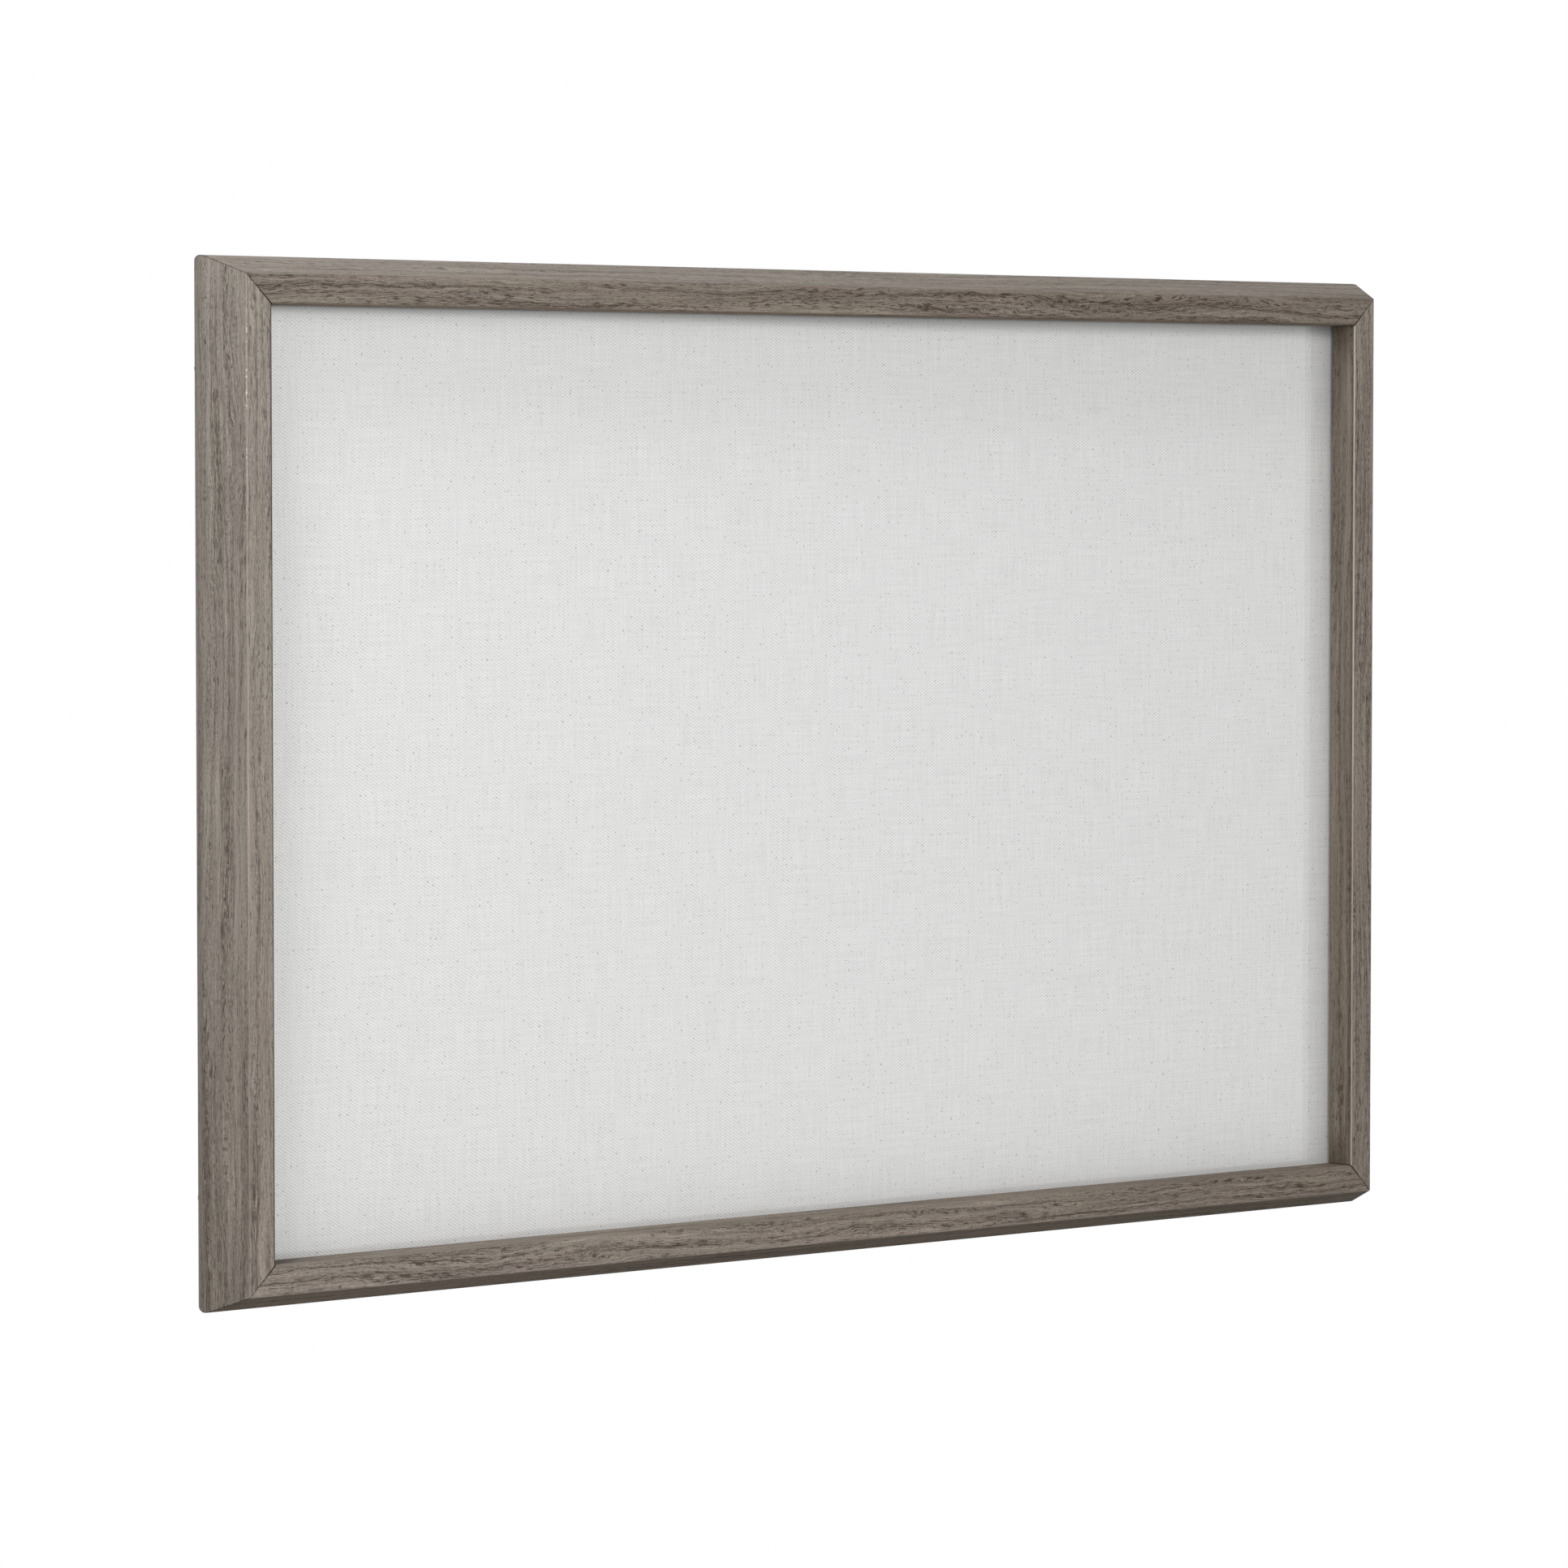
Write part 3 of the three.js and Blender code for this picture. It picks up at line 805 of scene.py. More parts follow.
def moulding_tree():
    """A mitred length of moulding: the section swept along z, each point reaching out to the mitre."""
    graph, given = geometry_tree(
        "mitred_moulding",
        {
            "Section": "NodeSocketObject",
            "Half Length": "NodeSocketFloat",
            "Mitre Gap": "NodeSocketFloat",
            "Eased End": "NodeSocketFloat",
            "Print Start": "NodeSocketFloat",
            "Stations": "NodeSocketInt",
            "Foil": "NodeSocketMaterial",
        },
    )

    def store(geometry, name, value, kind="FLOAT", domain="POINT"):
        layer = {"data_type": kind, "domain": domain}
        sockets = {"Geometry": geometry, "Name": name, "Value": value}
        return graph.node("GeometryNodeStoreNamedAttribute", layer, sockets)

    def stored(name):
        layer = {"data_type": "FLOAT"}
        return graph.node("GeometryNodeInputNamedAttribute", layer, {"Name": name}, "Attribute")

    section = graph.node("GeometryNodeObjectInfo", None, {"Object": given["Section"]}, "Geometry")
    spot = graph.node("GeometryNodeInputPosition")
    outward = graph.node("ShaderNodeSeparateXYZ", None, {"Vector": spot}, "X")
    section = store(section, "outward", outward)
    section = store(section, "backward", outward.other("Y"))
    section = store(section, "girth", graph.node("GeometryNodeSplineParameter", output="Length"))

    ends = {"Start": (0, 0, -1), "End": (0, 0, 1)}
    run = graph.node("GeometryNodeCurvePrimitiveLine", {"mode": "POINTS"}, ends)
    run = graph.node("GeometryNodeResampleCurve", None, {"Curve": run, "Count": given["Stations"]})
    run = store(run, "station", graph.node("GeometryNodeSplineParameter", output="Factor") * 2.0 - 1.0)
    swept = {"Curve": run, "Profile Curve": section, "Fill Caps": True}
    bar = graph.node("GeometryNodeCurveToMesh", None, swept)

    # The stations are spread up to the eased end, and the last one closes it
    reach = given["Half Length"] + stored("outward") - given["Mitre Gap"] / math.sqrt(2)
    station = stored("station")
    last = abs(station) > 0.9999
    inner = 1.0 - 2.0 / (given["Stations"] - 1.0)
    share = (abs(station) / inner).least(1.0)
    along = station.sign() * (share * (reach - given["Eased End"]) + last * given["Eased End"])
    draw_in = 1.0 - last * given["Eased End"] * END_DRAW
    middle_out, middle_back = SECTION_MIDDLE
    x = (stored("outward") - middle_out) * draw_in + middle_out
    y = (stored("backward") - middle_back) * draw_in + middle_back
    shaped = {"Geometry": bar, "Position": graph.vector(x, y, along)}
    bar = graph.node("GeometryNodeSetPosition", None, shaped)
    chart = graph.vector(along + given["Print Start"], stored("girth"))
    bar = store(bar, FOIL_MAP, chart, "FLOAT2", "CORNER")
    return end_tree(graph, bar, given["Foil"])


def close_rings(shape, rings, caps=True):
    """Quads between successive rings of equal count, and a face over each end where caps are asked."""
    for first, second in zip(rings, rings[1:]):
        count = len(first)
        for i in range(count):
            j = (i + 1) % count
            shape.faces.new((first[i], first[j], second[j], second[i]))
    if caps:
        shape.faces.new(rings[0])
        shape.faces.new(rings[-1])


def level_circle(shape, radius, height, steps, x=0.0, z=0.0):
    """Points of a circle about a line along y."""
    ways = arc(0.0, 2 * math.pi, steps)[:-1]
    return [shape.verts.new((x + radius * c, height, z + radius * s)) for c, s in ways]


def nail_slot(shape, sizes, half, end):
    """Cutter for the V nail that is driven across the mitre from behind."""
    middle = (sizes.shoulder_out - sizes.shoulder_tuck + sizes.rabbet - sizes.face) / 2
    wide, far = sizes.nail_slot / 2, -sizes.nail_leg
    low, high = sizes.depth - sizes.nail_depth, sizes.depth + CUT_PAST
    bent = [(wide, wide), (wide, far), (-wide, far), (-wide, -wide), (far, -wide), (far, wide)]
    rings = []
    for depth in (low, high):
        spots = [(middle + x, depth, end * (half + middle + z)) for x, z in bent]
        rings.append([shape.verts.new(spot) for spot in spots])
    close_rings(shape, rings)


def bore(shape, radius, x, z, low, high, steps=24):
    """Cutter for a round hole along y."""
    close_rings(shape, [level_circle(shape, radius, depth, steps, x, z) for depth in (low, high)])


def no_wear(z):
    """An edge that is nowhere rubbed."""
    return 0.0


def left_rub_and_highlight(z):
    """The left stile's outer edge is rubbed, most from its top to below its middle (z runs downwards);
    the pale rub is partly wear and partly a painted highlight.
    """
    return 0.3 if z < 0.1 else 0.06


def left_nicks(z):
    """The left stile's outer edge is nicked near the top."""
    return max(0.0, 1.0 - abs(z + 0.19) / 0.05)


def right_rub_and_highlight(z):
    """The right stile's inner edge is rubbed, most in its upper half (z runs upwards); the pale rub is
    partly wear and partly a painted highlight.
    """
    return 1.0 if z > -0.02 else 0.6


# Each member's painted light gradient along its length (drift), and the tones of its parts: the faces and
# sides carry the member's own tone, while the bottom rail's dark side, the inner walls and the inner
# edges are painted shade
TONES_AND_PAINTED_SHADE = {
    "top_rail": {"drift": 0.06, "face": 0.73, "side": 0.88, "wall": 0.7, "inner_edge_shade": 0.46},
    "right_stile": {"drift": 0.06, "face": 0.79, "side": 0.85, "wall": 0.66, "inner_edge_shade": 0.66},
    "bottom_rail": {"drift": -0.12, "face": 0.79, "side": 0.35, "wall": 0.72, "inner_edge_shade": 0.7},
    "left_stile": {"drift": -0.08, "face": 0.92, "side": 0.95, "wall": 0.7, "inner_edge_shade": 0.34},
}

# How strongly each member's grain shows, and how pitted it is
FIGURES = {
    "top_rail": {"face_figure": 1.2, "side_figure": 0.7, "pitted": 0.2},
    "right_stile": {"face_figure": 1.25, "side_figure": 0.8, "pitted": 0.5},
    "bottom_rail": {"face_figure": 1.25, "side_figure": 0.8, "pitted": 0.4},
    "left_stile": {"face_figure": 0.95, "side_figure": 1.0, "pitted": 0.5},
}

# Where a member's front edges are rubbed or nicked, the rub partly wear and partly a painted highlight,
# and how dark the painted shade line on its inner wall is
PLAIN = {"wall_shade_line": 1.0, "outer_rub_and_highlight": no_wear, "outer_nicks": no_wear, "inner_rub_and_highlight": no_wear}
EDGE_WEAR_AND_PAINTED_LIGHT = {
    "right_stile": {"wall_shade_line": 0.7, "inner_rub_and_highlight": right_rub_and_highlight},
    "left_stile": {"outer_rub_and_highlight": left_rub_and_highlight, "outer_nicks": left_nicks},
}


def member_placing(name, sizes):
    """From the member's own frame (x outwards, y back, z along) to the board's frame."""
    out, along = Vector(MEMBERS[name]["out"]), Vector(MEMBERS[name]["along"])
    low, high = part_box(name)
    centre = (CAD_BOX[0] + CAD_BOX[1]) / 2
    arris = max(high.dot(out), low.dot(out)) - swell(sizes)
    turn = Matrix((out, BACKWARD, along)).transposed().to_4x4()
    cross = centre - out * centre.dot(out) - BACKWARD * centre.y
    return Matrix.Translation(cross + out * arris + BACKWARD * low.y) @ turn


def crest(x, y, centre, peak):
    """How near a point on an arris lies to its rubbed crest, which also carries a painted highlight: 1 on
    it, and 0 beyond the spread.
    """
    turn = math.degrees(math.atan2(y - centre[1], x - centre[0]))
    return max(0.0, 1.0 - abs(turn - peak) / CREST_SPREAD)


def mark_member(mesh, name, sizes, half):
    """Store each point's tone with its painted shade and painted light drift, its figure, its rub with a
    painted highlight, and how far it is set back from its mitre.
    """
    look = {**PLAIN, **TONES_AND_PAINTED_SHADE[name], **FIGURES[name], **EDGE_WEAR_AND_PAINTED_LIGHT.get(name, {})}
    radius = sizes.arris
    flare = math.degrees(math.atan2(sizes.depth - sizes.shoulder_back, sizes.shoulder_out))
    outer_centre = (-radius * math.tan(math.radians(flare / 2)), radius)
    inner_centre = (radius - sizes.face, radius)
    points = []
    for vertex in mesh.vertices:
        x, y, z = vertex.co
        # Painted shade: the bottom rail's dark side is a painted underside shade, which fades to the
        # back's tone past the swell
        past_swell = min(max((y - sizes.depth + SWELL_START) / SWELL_RUN, 0.0), 1.0)
        shade = look["side"] + (BACK_SHADE - look["side"]) * past_swell
        figure, worn, nicked = look["side_figure"], 0.0, 0.0
        # The inner front edge is darkened with painted shade, and rubbed with a painted highlight along
        # its crest
        if x < inner_centre[0] and y < radius:
            shade, figure = look["inner_edge_shade"], INNER_EDGE_FIGURE
            worn = look["inner_rub_and_highlight"](z) * crest(x, y, inner_centre, INNER_CREST)
        elif x < inner_centre[0]:
            shade, figure = look["wall"], WALL_FIGURE
            # Painted shade line along the inner wall just behind its front arris
            if y < radius + WALL_LINE:
                shade *= look["wall_shade_line"]
        elif x > outer_centre[0] and y < radius:
            shade, figure = look["face"], look["face_figure"] * OUTER_EDGE_FIGURE
            ridge = crest(x, y, outer_centre, flare / 2 - 90)
            worn = look["outer_rub_and_highlight"](z) * ridge
            nicked = look["outer_nicks"](z) * ridge
        elif y < radius:
            shade, figure = look["face"], look["face_figure"]
        # Painted light: the drift makes each member lighter towards one end and darker towards the other
        marks = {
            "shade": shade * (1.0 + look["drift"] * z / half),
            "figure": figure,
            "pitted": look["pitted"],
            "worn": worn,
            "nicked": nicked,
            "from_mitre": half + x - abs(z),
        }
        points.append(marks)
    for mark in points[0]:
        layer = mesh.attributes.new(mark, "FLOAT", "POINT")
        layer.data.foreach_set("value", [marks[mark] for marks in points])


class BOARD_OT_frame(bpy.types.Operator):
    """Build the four mitred members, cut for their nails and screws"""

    bl_idname = "board.frame"
    bl_label = "Mitred frame"

    def execute(self, context):
        sizes = settings().moulding
        foil = once("woodgrain_foil", foil_material)
        section = self.section(context, sizes)
        tree = moulding_tree()
        for name, way in MEMBERS.items():
            self.member(name, way, sizes, section, tree, foil)
        drop(section)
        return {"FINISHED"}

    def section(self, context, sizes):
        """The moulding's section as a closed curve, for the sweep."""
        points = section_points(sizes)
        curve = bpy.data.curves.new("moulding_section", "CURVE")
        curve.dimensions = "3D"
        spline = curve.splines.new("POLY")
        spline.points.add(len(points) - 1)
        for spot, point in zip(spline.points, points):
            spot.co = (point.x, point.y, 0.0, 1.0)
        spline.use_cyclic_u = True
        section = bpy.data.objects.new("moulding_section", curve)
        context.scene.collection.objects.link(section)
        return section

    def member(self, name, way, sizes, section, tree, foil):
        """Sweep one member, cut it, mark it for its foil and put it in its place."""
        low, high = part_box(name)
        run = (high - low).dot(Vector([abs(share) for share in way["along"]]))
        half = run / 2 - swell(sizes) + sizes.gap / math.sqrt(2)
        placing = member_placing(name, sizes)
        piece = new_object(f"{name}_foiled")
        add_tree(
            piece,
            tree,
            {
                "Section": section,
                "Half Length": half,
                "Mitre Gap": sizes.foil_gap,
                "Eased End": sizes.ease,
                "Print Start": way["print"],
                "Stations": sizes.stations,
                "Foil": foil,
            },
        )
        mesh = carve(piece, self.cutter(name, sizes, half, placing))
        face_out(mesh)
        coat(mesh, foil)
        for spare in ("outward", "backward", "girth", "station"):
            layer = mesh.attributes.get(spare)
            if layer:
                mesh.attributes.remove(layer)
        mark_member(mesh, name, sizes, half)
        mesh.transform(placing)
        smooth(mesh)
        finish_piece(piece, BOARD_BODY, "moulding", name)

    def cutter(self, name, sizes, half, placing):
        """Slots for two V nails and a pilot hole for each screw on this member."""
        shape = bmesh.new()
        for end in (-1, 1):
            nail_slot(shape, sizes, half, end)
        back = placing.inverted()
        low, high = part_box(name)
        for node in nodes_ending("_screw"):
            spot = middle_of(node)
            if all(low[i] < spot[i] < high[i] for i in (0, 2)):
                local = back @ spot
                if abs(local.z) < half - CORNER_CLEAR:
                    point = (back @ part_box(node)[0]).y
                    foot, top = point - sizes.pilot_past, sizes.depth + CUT_PAST
                    bore(shape, sizes.pilot, local.x, local.z, foot, top)
        return mesh_of("member_cutter", shape)


class BOARD_OT_linen(bpy.types.Operator):
    """Draw the linen over the core: front, edges and turned border"""

    bl_idname = "board.linen"
    bl_label = "Linen cover"

    def execute(self, context):
        sizes = settings().linen
        low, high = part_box("linen_cover")
        half = Vector(((high.x - low.x) / 2, (high.z - low.z) / 2))
        deep = high.y - low.y
        edge = sizes.edge
        beside = edge + sizes.hold
        run = [(inset, 0.0) for inset in FRONT_INSETS]
        run += [(beside, 0.0)]
        run += self.bend(edge, edge, edge, math.pi / 2, 6)
        run += [(0.0, deep / 2)]
        run += self.bend(edge, deep - edge, edge, 0.0, 6)
        run += [(beside, deep), (BACK_INSET, deep), (sizes.turn, deep)]
        shape = bmesh.new()
        rings = [self.ring(shape, half, inset, low.y + depth) for inset, depth in run]
        close_rings(shape, rings, caps=False)
        shape.faces.new(rings[0])
        mesh = mesh_of("linen_wrap", shape)
        coat(mesh, once("linen_weave", linen_material))
        piece = new_object("linen_wrap", mesh)
        thick = piece.modifiers.new("cloth", "SOLIDIFY")
        thick.thickness = sizes.thickness
        thick.offset = -1.0
        thick.use_even_offset = True
        smooth(settle(piece), 50)
        finish_piece(piece, BOARD_BODY, "linen", "linen_cover")
        return {"FINISHED"}

    def bend(self, inset, depth, radius, start, steps):
        """Quarter round from the front to the edge, or from the edge to the back."""
        ways = arc(start, start - math.pi / 2, steps)
        return [(inset - radius * c, depth - radius * s) for c, s in ways]

    def ring(self, shape, half, inset, y, steps=5):
        """A rectangle with softly rounded corners, set in from the cloth's outer edge."""
        radius = max(CLOTH_CORNER - inset * 0.4, LEAST_CLOTH_CORNER)
        x, z = half.x - inset - radius, half.y - inset - radius
        spots = []
        for index, (side, level) in enumerate(((1, 1), (-1, 1), (-1, -1), (1, -1))):
            start = math.pi / 2 * index
            for c, s in arc(start, start + math.pi / 2, steps):
                spots.append((side * x + radius * c, y, level * z + radius * s))
        return [shape.verts.new(spot) for spot in spots]


class BOARD_OT_sheets(bpy.types.Operator):
    """Finish the glass pane, the core and the back panel"""

    bl_idname = "board.sheets"
    bl_label = "Glass and boards"

    def execute(self, context):
        dress("glass_panel", once("clear_glass", glass_material))
        dress("core_board", once("pressed_fibreboard", fibreboard_material))
        dress("back_panel", once("pressed_hardboard", hardboard_material))
        return {"FINISHED"}


def turned(profile, steps):
    """A solid turned about y from (radius, height) points that start and end on the axis."""
    shape = bmesh.new()
    foot = shape.verts.new((0.0, profile[0][1], 0.0))
    crown = shape.verts.new((0.0, profile[-1][1], 0.0))
    rings = [level_circle(shape, radius, height, steps) for radius, height in profile[1:-1]]
    close_rings(shape, rings, caps=False)
    for i in range(steps):
        j = (i + 1) % steps
        shape.faces.new((foot, rings[0][i], rings[0][j]))
        shape.faces.new((crown, rings[-1][i], rings[-1][j]))
    return shape


def dome(radius, inner, low, high, steps):
    """Quarter ellipse from (radius, low) up to (inner, high)."""
    ways = arc(0.0, math.pi / 2, steps)
    return [(inner + (radius - inner) * c, low + (high - low) * s) for c, s in ways]


def screw_form(head, rise, shank, point):
    """Pan-head screw along y with its head on y = 0, its point below and a cross recess."""
    profile = [(0.0, point), (shank * 0.15, point + shank * 0.1), (shank, point + 2 * shank)]
    profile += [(shank, 0.0), (head * 0.93, 0.0), (head, rise * 0.09)]
    profile += dome(head, 0.0, rise * 0.34, rise, 10)
    form = new_object("screw_form", mesh_of("screw_form", turned(profile, 40)))
    shape = bmesh.new()
    rings = []
    for wide, far, height in RECESS:
        arm = [(far, -wide), (far, wide), (wide, wide)]
        ring = []
        for _ in range(4):
            ring += [shape.verts.new((x, rise + height, z)) for x, z in arm]
            arm = [(-z, x) for x, z in arm]
        rings.append(ring)
    close_rings(shape, rings)
    carve(form, mesh_of("screw_recess", shape))
    return form


def copies_tree():
    """Copies of a form at the points of the piece, each with its own turn about y."""
    graph, given = geometry_tree(
        "copies_at_places",
        {
            "Places": "NodeSocketGeometry",
            "Form": "NodeSocketObject",
            "Most Turn": "NodeSocketFloat",
            "Seed": "NodeSocketInt",
            "Finish": "NodeSocketMaterial",
        },
    )
    form = graph.node("GeometryNodeObjectInfo", None, {"Object": given["Form"]}, "Geometry")
    draw = {"Min": 0.0, "Max": given["Most Turn"], "Seed": given["Seed"]}
    turn = graph.node("FunctionNodeRandomValue", {"data_type": "FLOAT"}, draw, "Value")
    spread = {"Points": given["Places"], "Instance": form, "Rotation": graph.vector(0.0, turn, 0.0)}
    placed = graph.node("GeometryNodeInstanceOnPoints", None, spread)
    return end_tree(graph, placed, given["Finish"])


def copies(name, places, form, finish, most_turn=0.0):
    """One piece with a copy of form at each place; the form is then removed."""
    mesh = bpy.data.meshes.new(name)
    mesh.from_pydata(places, [], [])
    piece = new_object(name, mesh)
    tree = bpy.data.node_groups.get("copies_at_places") or copies_tree()
    seed = settings().hardware.seed
    add_tree(piece, tree, {"Form": form, "Most Turn": most_turn, "Seed": seed, "Finish": finish})
    made = settle(piece)
    drop(form)
    coat(made, finish)
    smooth(made)
    return piece


def places_of(nodes, end, forward=0.0):
    """Middle of each solid, at the front (0) or back (1) end of its box, moved forward."""
    places = []
    for node in nodes:
        spot = middle_of(node)
        places.append((spot.x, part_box(node)[end].y - forward, spot.z))
    return places


class BOARD_OT_screws(bpy.types.Operator):
    """Drive a pan-head screw through each turn button and each strap hole"""

    bl_idname = "board.screws"
    bl_label = "Screws"

    def execute(self, context):
        sizes = settings().hardware
        self.screws("button", sizes.screw_rise, sizes.button_shank)
        self.screws("strap", sizes.screw_rise, sizes.strap_shank)
        return {"FINISHED"}

    def screws(self, kind, rise, shank):
        """All screws of one kind as one piece."""
        nodes = [node for node in nodes_ending("_screw") if f"_{kind}_" in node]
        low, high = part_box(nodes[0])
        form = screw_form((high.z - low.z) / 2, rise, shank, low.y - high.y + rise)
        steel = once("pan_head_steel", screw_material)
        piece = copies(f"{kind}_screws", places_of(nodes, 1, rise), form, steel, math.pi)
        finish_piece(piece, BOARD_BODY, "screw_steel", *nodes)


class BOARD_OT_pads(bpy.types.Operator):
    """Stick a domed rubber pad near each corner of the back"""

    bl_idname = "board.pads"
    bl_label = "Bumper pads"

    def execute(self, context):
        sizes = settings().hardware
        nodes = nodes_ending("_pad")
        low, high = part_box(nodes[0])
        radius, tall = (high.z - low.z) / 2, high.y - low.y
        profile = [(0.0, 0.0), (radius * 0.97, 0.0), (radius, sizes.pad_foot)]
        profile += dome(radius, sizes.pad_top, sizes.pad_wall, tall, 12)
        profile += [(sizes.pad_top * 0.5, tall), (0.0, tall)]
        form = new_object("pad_form", mesh_of("pad_form", turned(profile, 48)))
        rubber = once("moulded_rubber", rubber_material)
        piece = copies("bumper_pads", places_of(nodes, 0), form, rubber)
        finish_piece(piece, BOARD_BODY, "pad_rubber", *nodes)
        return {"FINISHED"}


def zinc_piece(node, kind, shape, placing, degrees):
    """One zinc-plated piece that moves with its own body, from a bmesh about its pivot."""
    name = f"{node}_{kind}"
    mesh = mesh_of(name, shape)
    mesh.transform(placing)
    coat(mesh, once("zinc_plating", zinc_material))
    smooth(mesh, degrees)
    finish_piece(new_object(name, mesh), node, "zinc_plate", node)


class BOARD_OT_buttons(bpy.types.Operator):
    """Stamp a turn button for each screw that clamps the back panel"""

    bl_idname = "board.buttons"
    bl_label = "Turn buttons"

    def execute(self, context):
        sizes = settings().hardware
        for node in nodes_ending("_button"):
            member = node.rsplit("_", 2)[0]
            inward = -Vector(MEMBERS[member]["out"])
            low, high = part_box(node)
            screw = middle_of(f"{node}_screw")
            turn = Matrix((-inward, BACKWARD, BACKWARD.cross(inward))).transposed().to_4x4()
            placing = Matrix.Translation((screw.x, low.y, screw.z)) @ turn
            zinc_piece(node, "stamping", self.button(sizes, high.y - low.y), placing, 40)
        return {"FINISHED"}

    def button(self, sizes, thick):
        """A plate with softened edges and a hole, its tip towards -x."""
        edge, hole, soft = self.edge(sizes), sizes.button_bore, BUTTON_SOFT
        shape = bmesh.new()
        loops = [self.rim(shape, edge, hole, 0.0)]
        for inset, height in ((soft, 0.0), (0.0, soft), (0.0, thick - soft), (soft, thick)):
            spots = [(x - nx * inset, height, z - nz * inset) for x, z, nx, nz in edge]
            loops.append([shape.verts.new(spot) for spot in spots])
        loops.append(self.rim(shape, edge, hole, thick))
        close_rings(shape, loops + [loops[0]], caps=False)
        return shape

    def rim(self, shape, edge, radius, height):
        """The hole's rim, with a point towards each point of the edge."""
        rim = []
        for x, z, _, _ in edge:
            far = math.hypot(x, z)
            rim.append(shape.verts.new((x * radius / far, height, z * radius / far)))
        return rim

    def edge(self, sizes, steps=22):
        """Outline of a drop that points to -x: place and outward direction of each point."""
        lean = math.asin((sizes.button_head - sizes.button_tip) / sizes.button_reach)
        up = math.pi / 2 + lean
        head, tip = arc(-up, up, steps), arc(up, 2 * math.pi - up, steps)
        shares = [step / 5 for step in range(1, 5)]
        places = [(way, 0.0) for way in head]
        places += [(head[-1], share) for share in shares]
        places += [(way, 1.0) for way in tip]
        places += [(head[0], 1 - share) for share in shares]
        spots = []
        for (nx, nz), share in places:
            radius = sizes.button_head + (sizes.button_tip - sizes.button_head) * share
            spots.append((radius * nx - sizes.button_reach * share, radius * nz, nx, nz))
        return spots


class BOARD_OT_hangers(bpy.types.Operator):
    """Roll the two hanger straps and bend their rings"""

    bl_idname = "board.hangers"
    bl_label = "Ring hangers"

    def execute(self, context):
        sizes = settings().hardware
        places = []
        for strap in ("left_strap", "right_strap"):
            low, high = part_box(strap)
            places.append(Vector(((low.x + high.x) / 2, low.y, low.z + sizes.strap_length)))
        form = new_object("strap_form", self.strap(sizes))
        carve(form, self.screw_holes(sizes, places[0]))
        piece = copies("hanger_straps", places, form, once("zinc_plating", zinc_material))
        finish_piece(piece, BOARD_BODY, "zinc_plate", "left_strap", "right_strap")
        rise = BACKWARD * (sizes.wire + sizes.ring_play + sizes.strap_thickness)
        for ring, place in zip(("left_ring", "right_ring"), places):
            zinc_piece(ring, "wire", self.ring(sizes), Matrix.Translation(place + rise), 60)
        return {"FINISHED"}

    def screw_holes(self, sizes, place):
        """Cutter for the left strap's two holes, about the strap's own place."""
        shape = bmesh.new()
        radius = sizes.strap_shank + sizes.screw_play
        for level in ("upper", "lower"):
            spot = middle_of(f"left_strap_{level}_screw") - place
            bore(shape, radius, spot.x, spot.z, -CUT_PAST, sizes.strap_thickness + CUT_PAST)
        return mesh_of("strap_holes", shape)

    def strap(self, sizes):
        """Flat tongue with a round end, rolled at the top into a barrel for the ring."""
        thick, half = sizes.strap_thickness, sizes.strap_width / 2
        inside = sizes.wire + sizes.ring_play
        axis = Vector((0.0, inside + thick))
        upward = Vector((0, 1))
        stations = []
        for c, s in arc(0.0, math.pi / 2, 16)[1:]:
            level = half * (1 - c) - sizes.strap_length
            stations.append((Vector((level, thick / 2)), upward, half * s))
        stations.append((Vector((STRAP_FLAT, thick / 2)), upward, half))
        for c, s in arc(-math.pi / 2, math.radians(ROLL_DEGREES) - math.pi / 2, 36):
            spoke = Vector((c, s))
            stations.append((axis + spoke * (inside + thick / 2), -spoke, half))
        shape = bmesh.new()
        rings = [self.outline(shape, *station, thick / 2) for station in stations]
        close_rings(shape, rings)
        return mesh_of("strap_form", shape)

    def outline(self, shape, spot, up, wide, high):
        """The strap's section at one station, with softened edges."""
        soft = STRAP_SOFT
        inner = wide - min(soft, wide * 0.4)
        right = [(inner, -high), (wide, soft - high), (wide, high - soft), (inner, high)]
        ring = []
        for x, height in right + [(-x, height) for x, height in reversed(right)]:
            point = spot + up * height
            ring.append(shape.verts.new((x, point.y, point.x)))
        return ring

    def ring(self, sizes):
        """A bent wire that hangs from the barrel's axis."""
        side, leg, bend = sizes.ring_side, sizes.ring_leg, sizes.ring_bend
        path = [(side - bend + bend * c, bend * s - bend) for c, s in arc(math.pi / 2, 0.0, 8)]
        path += [(side * c, side * s - leg) for c, s in arc(0.0, -math.pi, 40)]
        path += [(bend - side + bend * c, bend * s - bend) for c, s in arc(math.pi, math.pi / 2, 8)]
        shape = bmesh.new()
        loops = []
        for i, (x, z) in enumerate(path):
            before, after = path[i - 1], path[(i + 1) % len(path)]
            way = Vector((after[0] - before[0], 0.0, after[1] - before[1])).normalized()
            out = Vector((way.z, 0.0, -way.x))
            spokes = [out * c + BACKWARD * s for c, s in arc(0.0, 2 * math.pi, 16)[:-1]]
            loops.append([shape.verts.new(Vector((x, 0.0, z)) + spoke * sizes.wire) for spoke in spokes])
        close_rings(shape, loops + [loops[0]], caps=False)
        return shape


class BOARD_OT_nails(bpy.types.Operator):
    """Finish the V nails across the mitres"""

    bl_idname = "board.nails"
    bl_label = "V nails"

    def execute(self, context):
        for node in nodes_ending("_v_nail"):
            dress(node, once("v_nail_steel", nail_material))
        return {"FINISHED"}


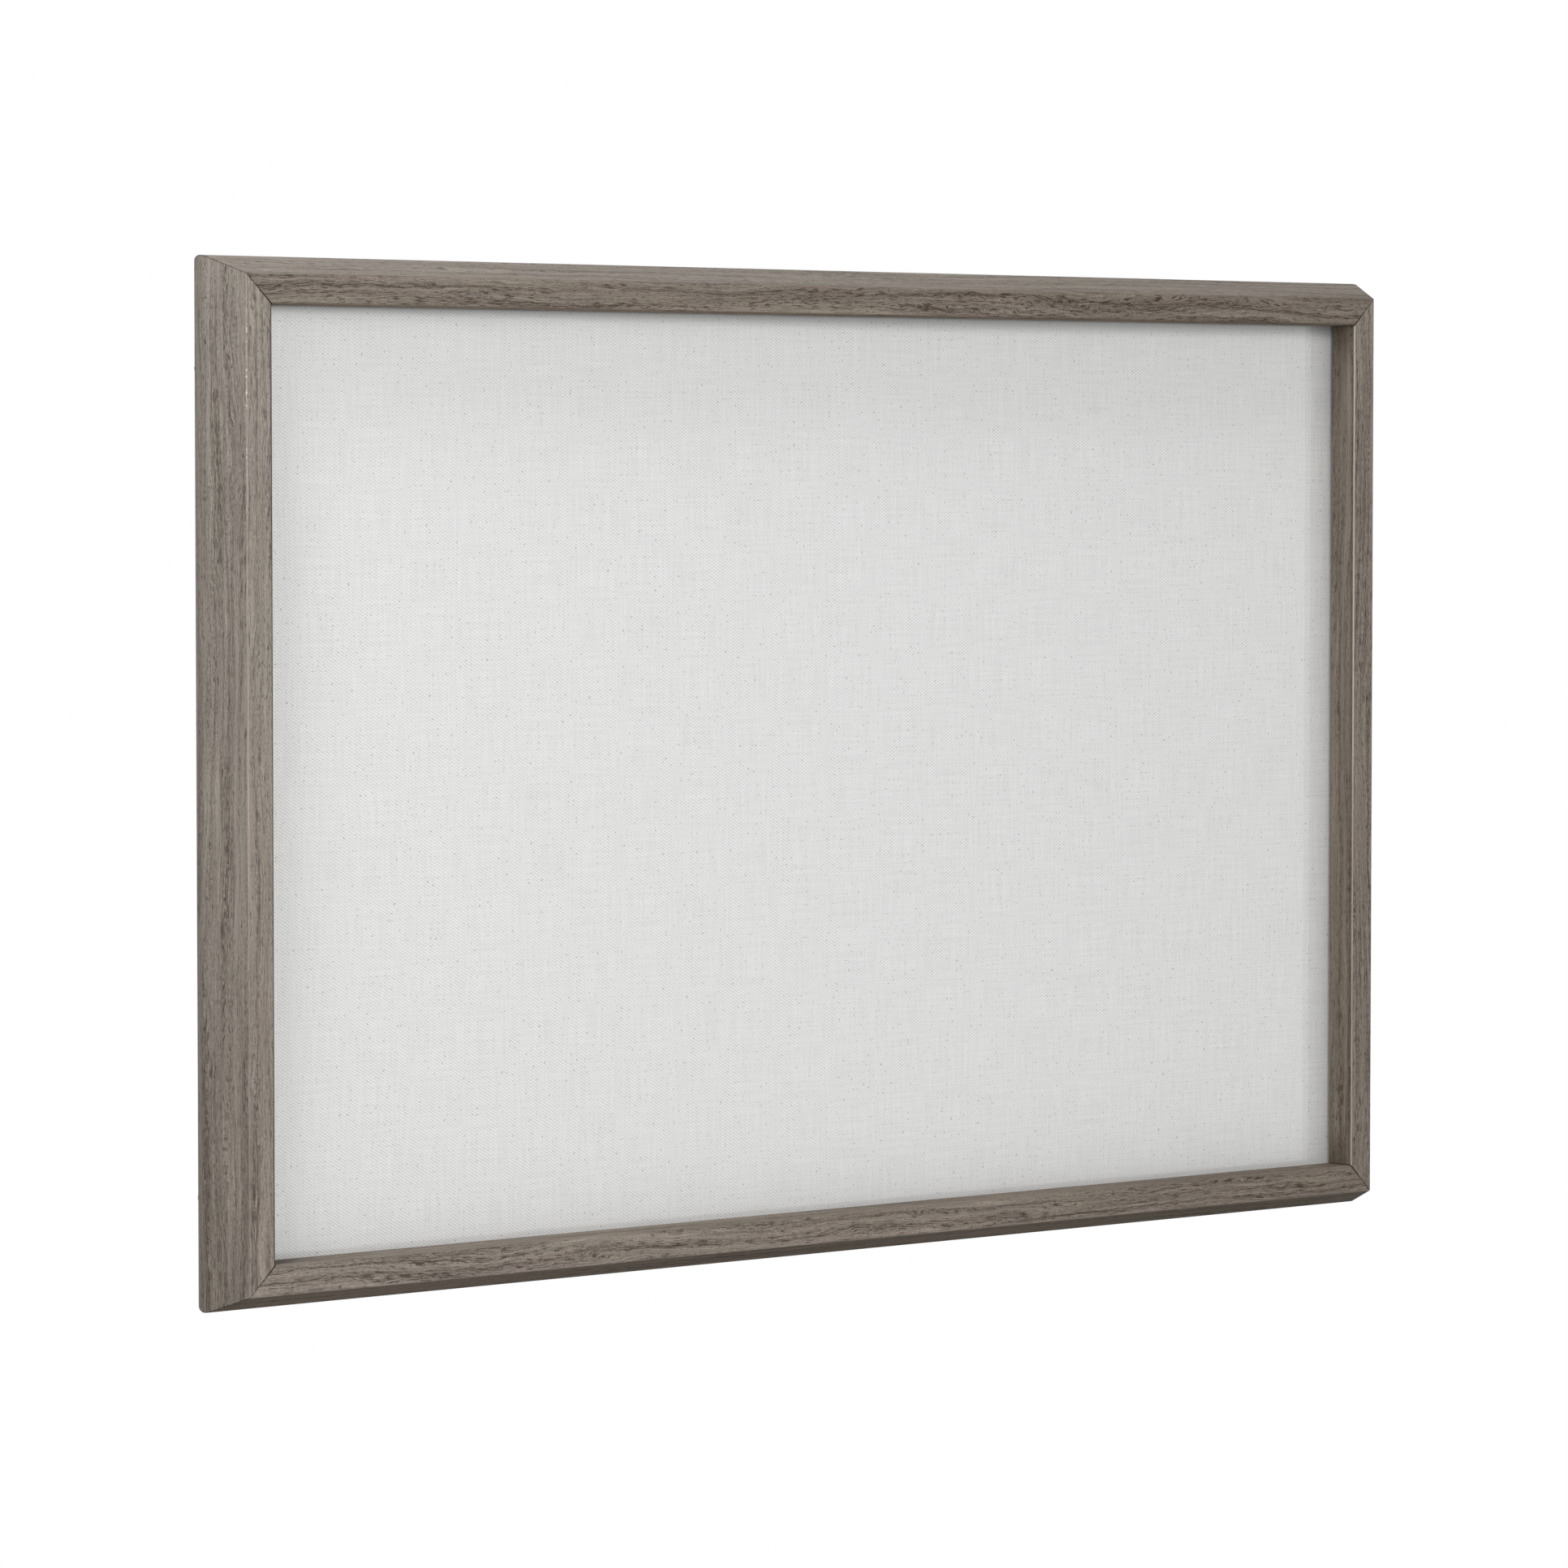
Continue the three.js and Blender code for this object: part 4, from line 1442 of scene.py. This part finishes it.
class BOARD_OT_stage(bpy.types.Operator):
    """Set the pale floor, soft studio light and camera"""

    bl_idname = "board.stage"
    bl_label = "Studio stage"

    def execute(self, context):
        scene = context.scene
        scene.view_settings.view_transform = "Standard"
        self.floor()
        self.world(scene)
        for name, lamp in LAMPS.items():
            self.lamp(scene, name, *lamp)
        self.camera(scene)
        return {"FINISHED"}

    def camera(self, scene):
        """A long lens in front of the board, to its left and a little above its middle."""
        data = bpy.data.cameras.new("camera")
        data.lens = CAMERA_LENS
        data.sensor_width = CAMERA_SENSOR
        data.clip_end = 100.0
        camera = bpy.data.objects.new("camera", data)
        camera.location = CAMERA_SPOT
        camera.rotation_euler = Vector(CAMERA_AIM).to_track_quat("-Z", "Y").to_euler()
        scene.collection.objects.link(camera)
        scene.camera = camera

    def lamp(self, scene, name, spot, size, power, mirrored):
        """A soft square lamp aimed at the board's middle."""
        data = bpy.data.lights.new(name, "AREA")
        data.size = size
        data.energy = power
        lamp = bpy.data.objects.new(name, data)
        lamp.location = spot
        lamp.rotation_euler = (-Vector(spot)).to_track_quat("-Z", "Y").to_euler()
        lamp.visible_glossy = mirrored
        lamp.visible_transmission = mirrored
        scene.collection.objects.link(lamp)

    def floor(self):
        """A round pale floor that fades into the white beyond, and is clear from below."""
        shape = bmesh.new()
        bmesh.ops.create_circle(shape, cap_ends=True, segments=96, radius=FLOOR_RADIUS)
        mesh = mesh_of("studio_floor", shape)
        if mesh.polygons[0].normal.z < 0:
            mesh.flip_normals()
        mesh.transform(Matrix.Translation((0.0, 0.0, FLOOR_LEVEL)))
        made, graph = material("pale_floor")
        spot = graph.node("ShaderNodeTexCoord", output="Object")
        x = graph.node("ShaderNodeSeparateXYZ", None, {"Vector": spot}, "X")
        y = x.other("Y")
        far = graph.spread(x * x + y * y, 1.5, 9.0)
        matt = graph.node("ShaderNodeBsdfDiffuse", None, {"Color": solid(settings().colours.floor)})
        glow = graph.node("ShaderNodeEmission", None, {"Color": WHITE, "Strength": 1.0})
        seen = graph.node("ShaderNodeLightPath", output="Is Camera Ray")
        upper = graph.blend(far * seen, matt, glow)
        below = graph.node("ShaderNodeNewGeometry", output="Backfacing")
        graph.surface(graph.blend(below, upper, graph.node("ShaderNodeBsdfTransparent")))
        coat(mesh, made)
        new_object("studio_floor", mesh)

    def world(self, scene):
        """Even sky for the light, white where the camera, a mirror or the glass looks at it."""
        scene.world = bpy.data.worlds.new("studio")
        scene.world.use_nodes = True
        scene.world.node_tree.nodes.clear()
        graph = Graph(scene.world.node_tree)
        seen = graph.node("ShaderNodeLightPath", output="Is Camera Ray")
        seen = seen.most(seen.other("Is Glossy Ray")).most(seen.other("Is Transmission Ray"))
        sky = graph.node("ShaderNodeBackground", None, {"Color": WHITE, "Strength": 0.2 + seen * 0.8})
        graph.surface(sky, "ShaderNodeOutputWorld")


class BOARD_PT_panel(bpy.types.Panel):
    """Lists the steps that build the board"""

    bl_idname = "BOARD_PT_panel"
    bl_label = "Writing board"
    bl_space_type = "VIEW_3D"
    bl_region_type = "UI"
    bl_category = "Board"

    def draw(self, context):
        for step in STEPS:
            self.layout.operator(step.bl_idname)


STEPS = (
    BOARD_OT_stage,
    BOARD_OT_frame,
    BOARD_OT_linen,
    BOARD_OT_sheets,
    BOARD_OT_nails,
    BOARD_OT_buttons,
    BOARD_OT_hangers,
    BOARD_OT_screws,
    BOARD_OT_pads,
)
CLASSES = (MouldingSizes, LinenSizes, HardwareSizes, BoardColours, BoardSettings, *STEPS, BOARD_PT_panel)


def register():
    for cls in CLASSES:
        bpy.utils.register_class(cls)
    bpy.types.Scene.writing_board = PointerProperty(type=BoardSettings)


def unregister():
    del bpy.types.Scene.writing_board
    for cls in reversed(CLASSES):
        bpy.utils.unregister_class(cls)


def main():
    """Build the board step by step."""
    register()
    bpy.ops.board.stage()
    bpy.ops.board.frame()
    bpy.ops.board.linen()
    bpy.ops.board.sheets()
    bpy.ops.board.nails()
    bpy.ops.board.buttons()
    bpy.ops.board.hangers()
    bpy.ops.board.screws()
    bpy.ops.board.pads()


if __name__ == "__main__":
    main()
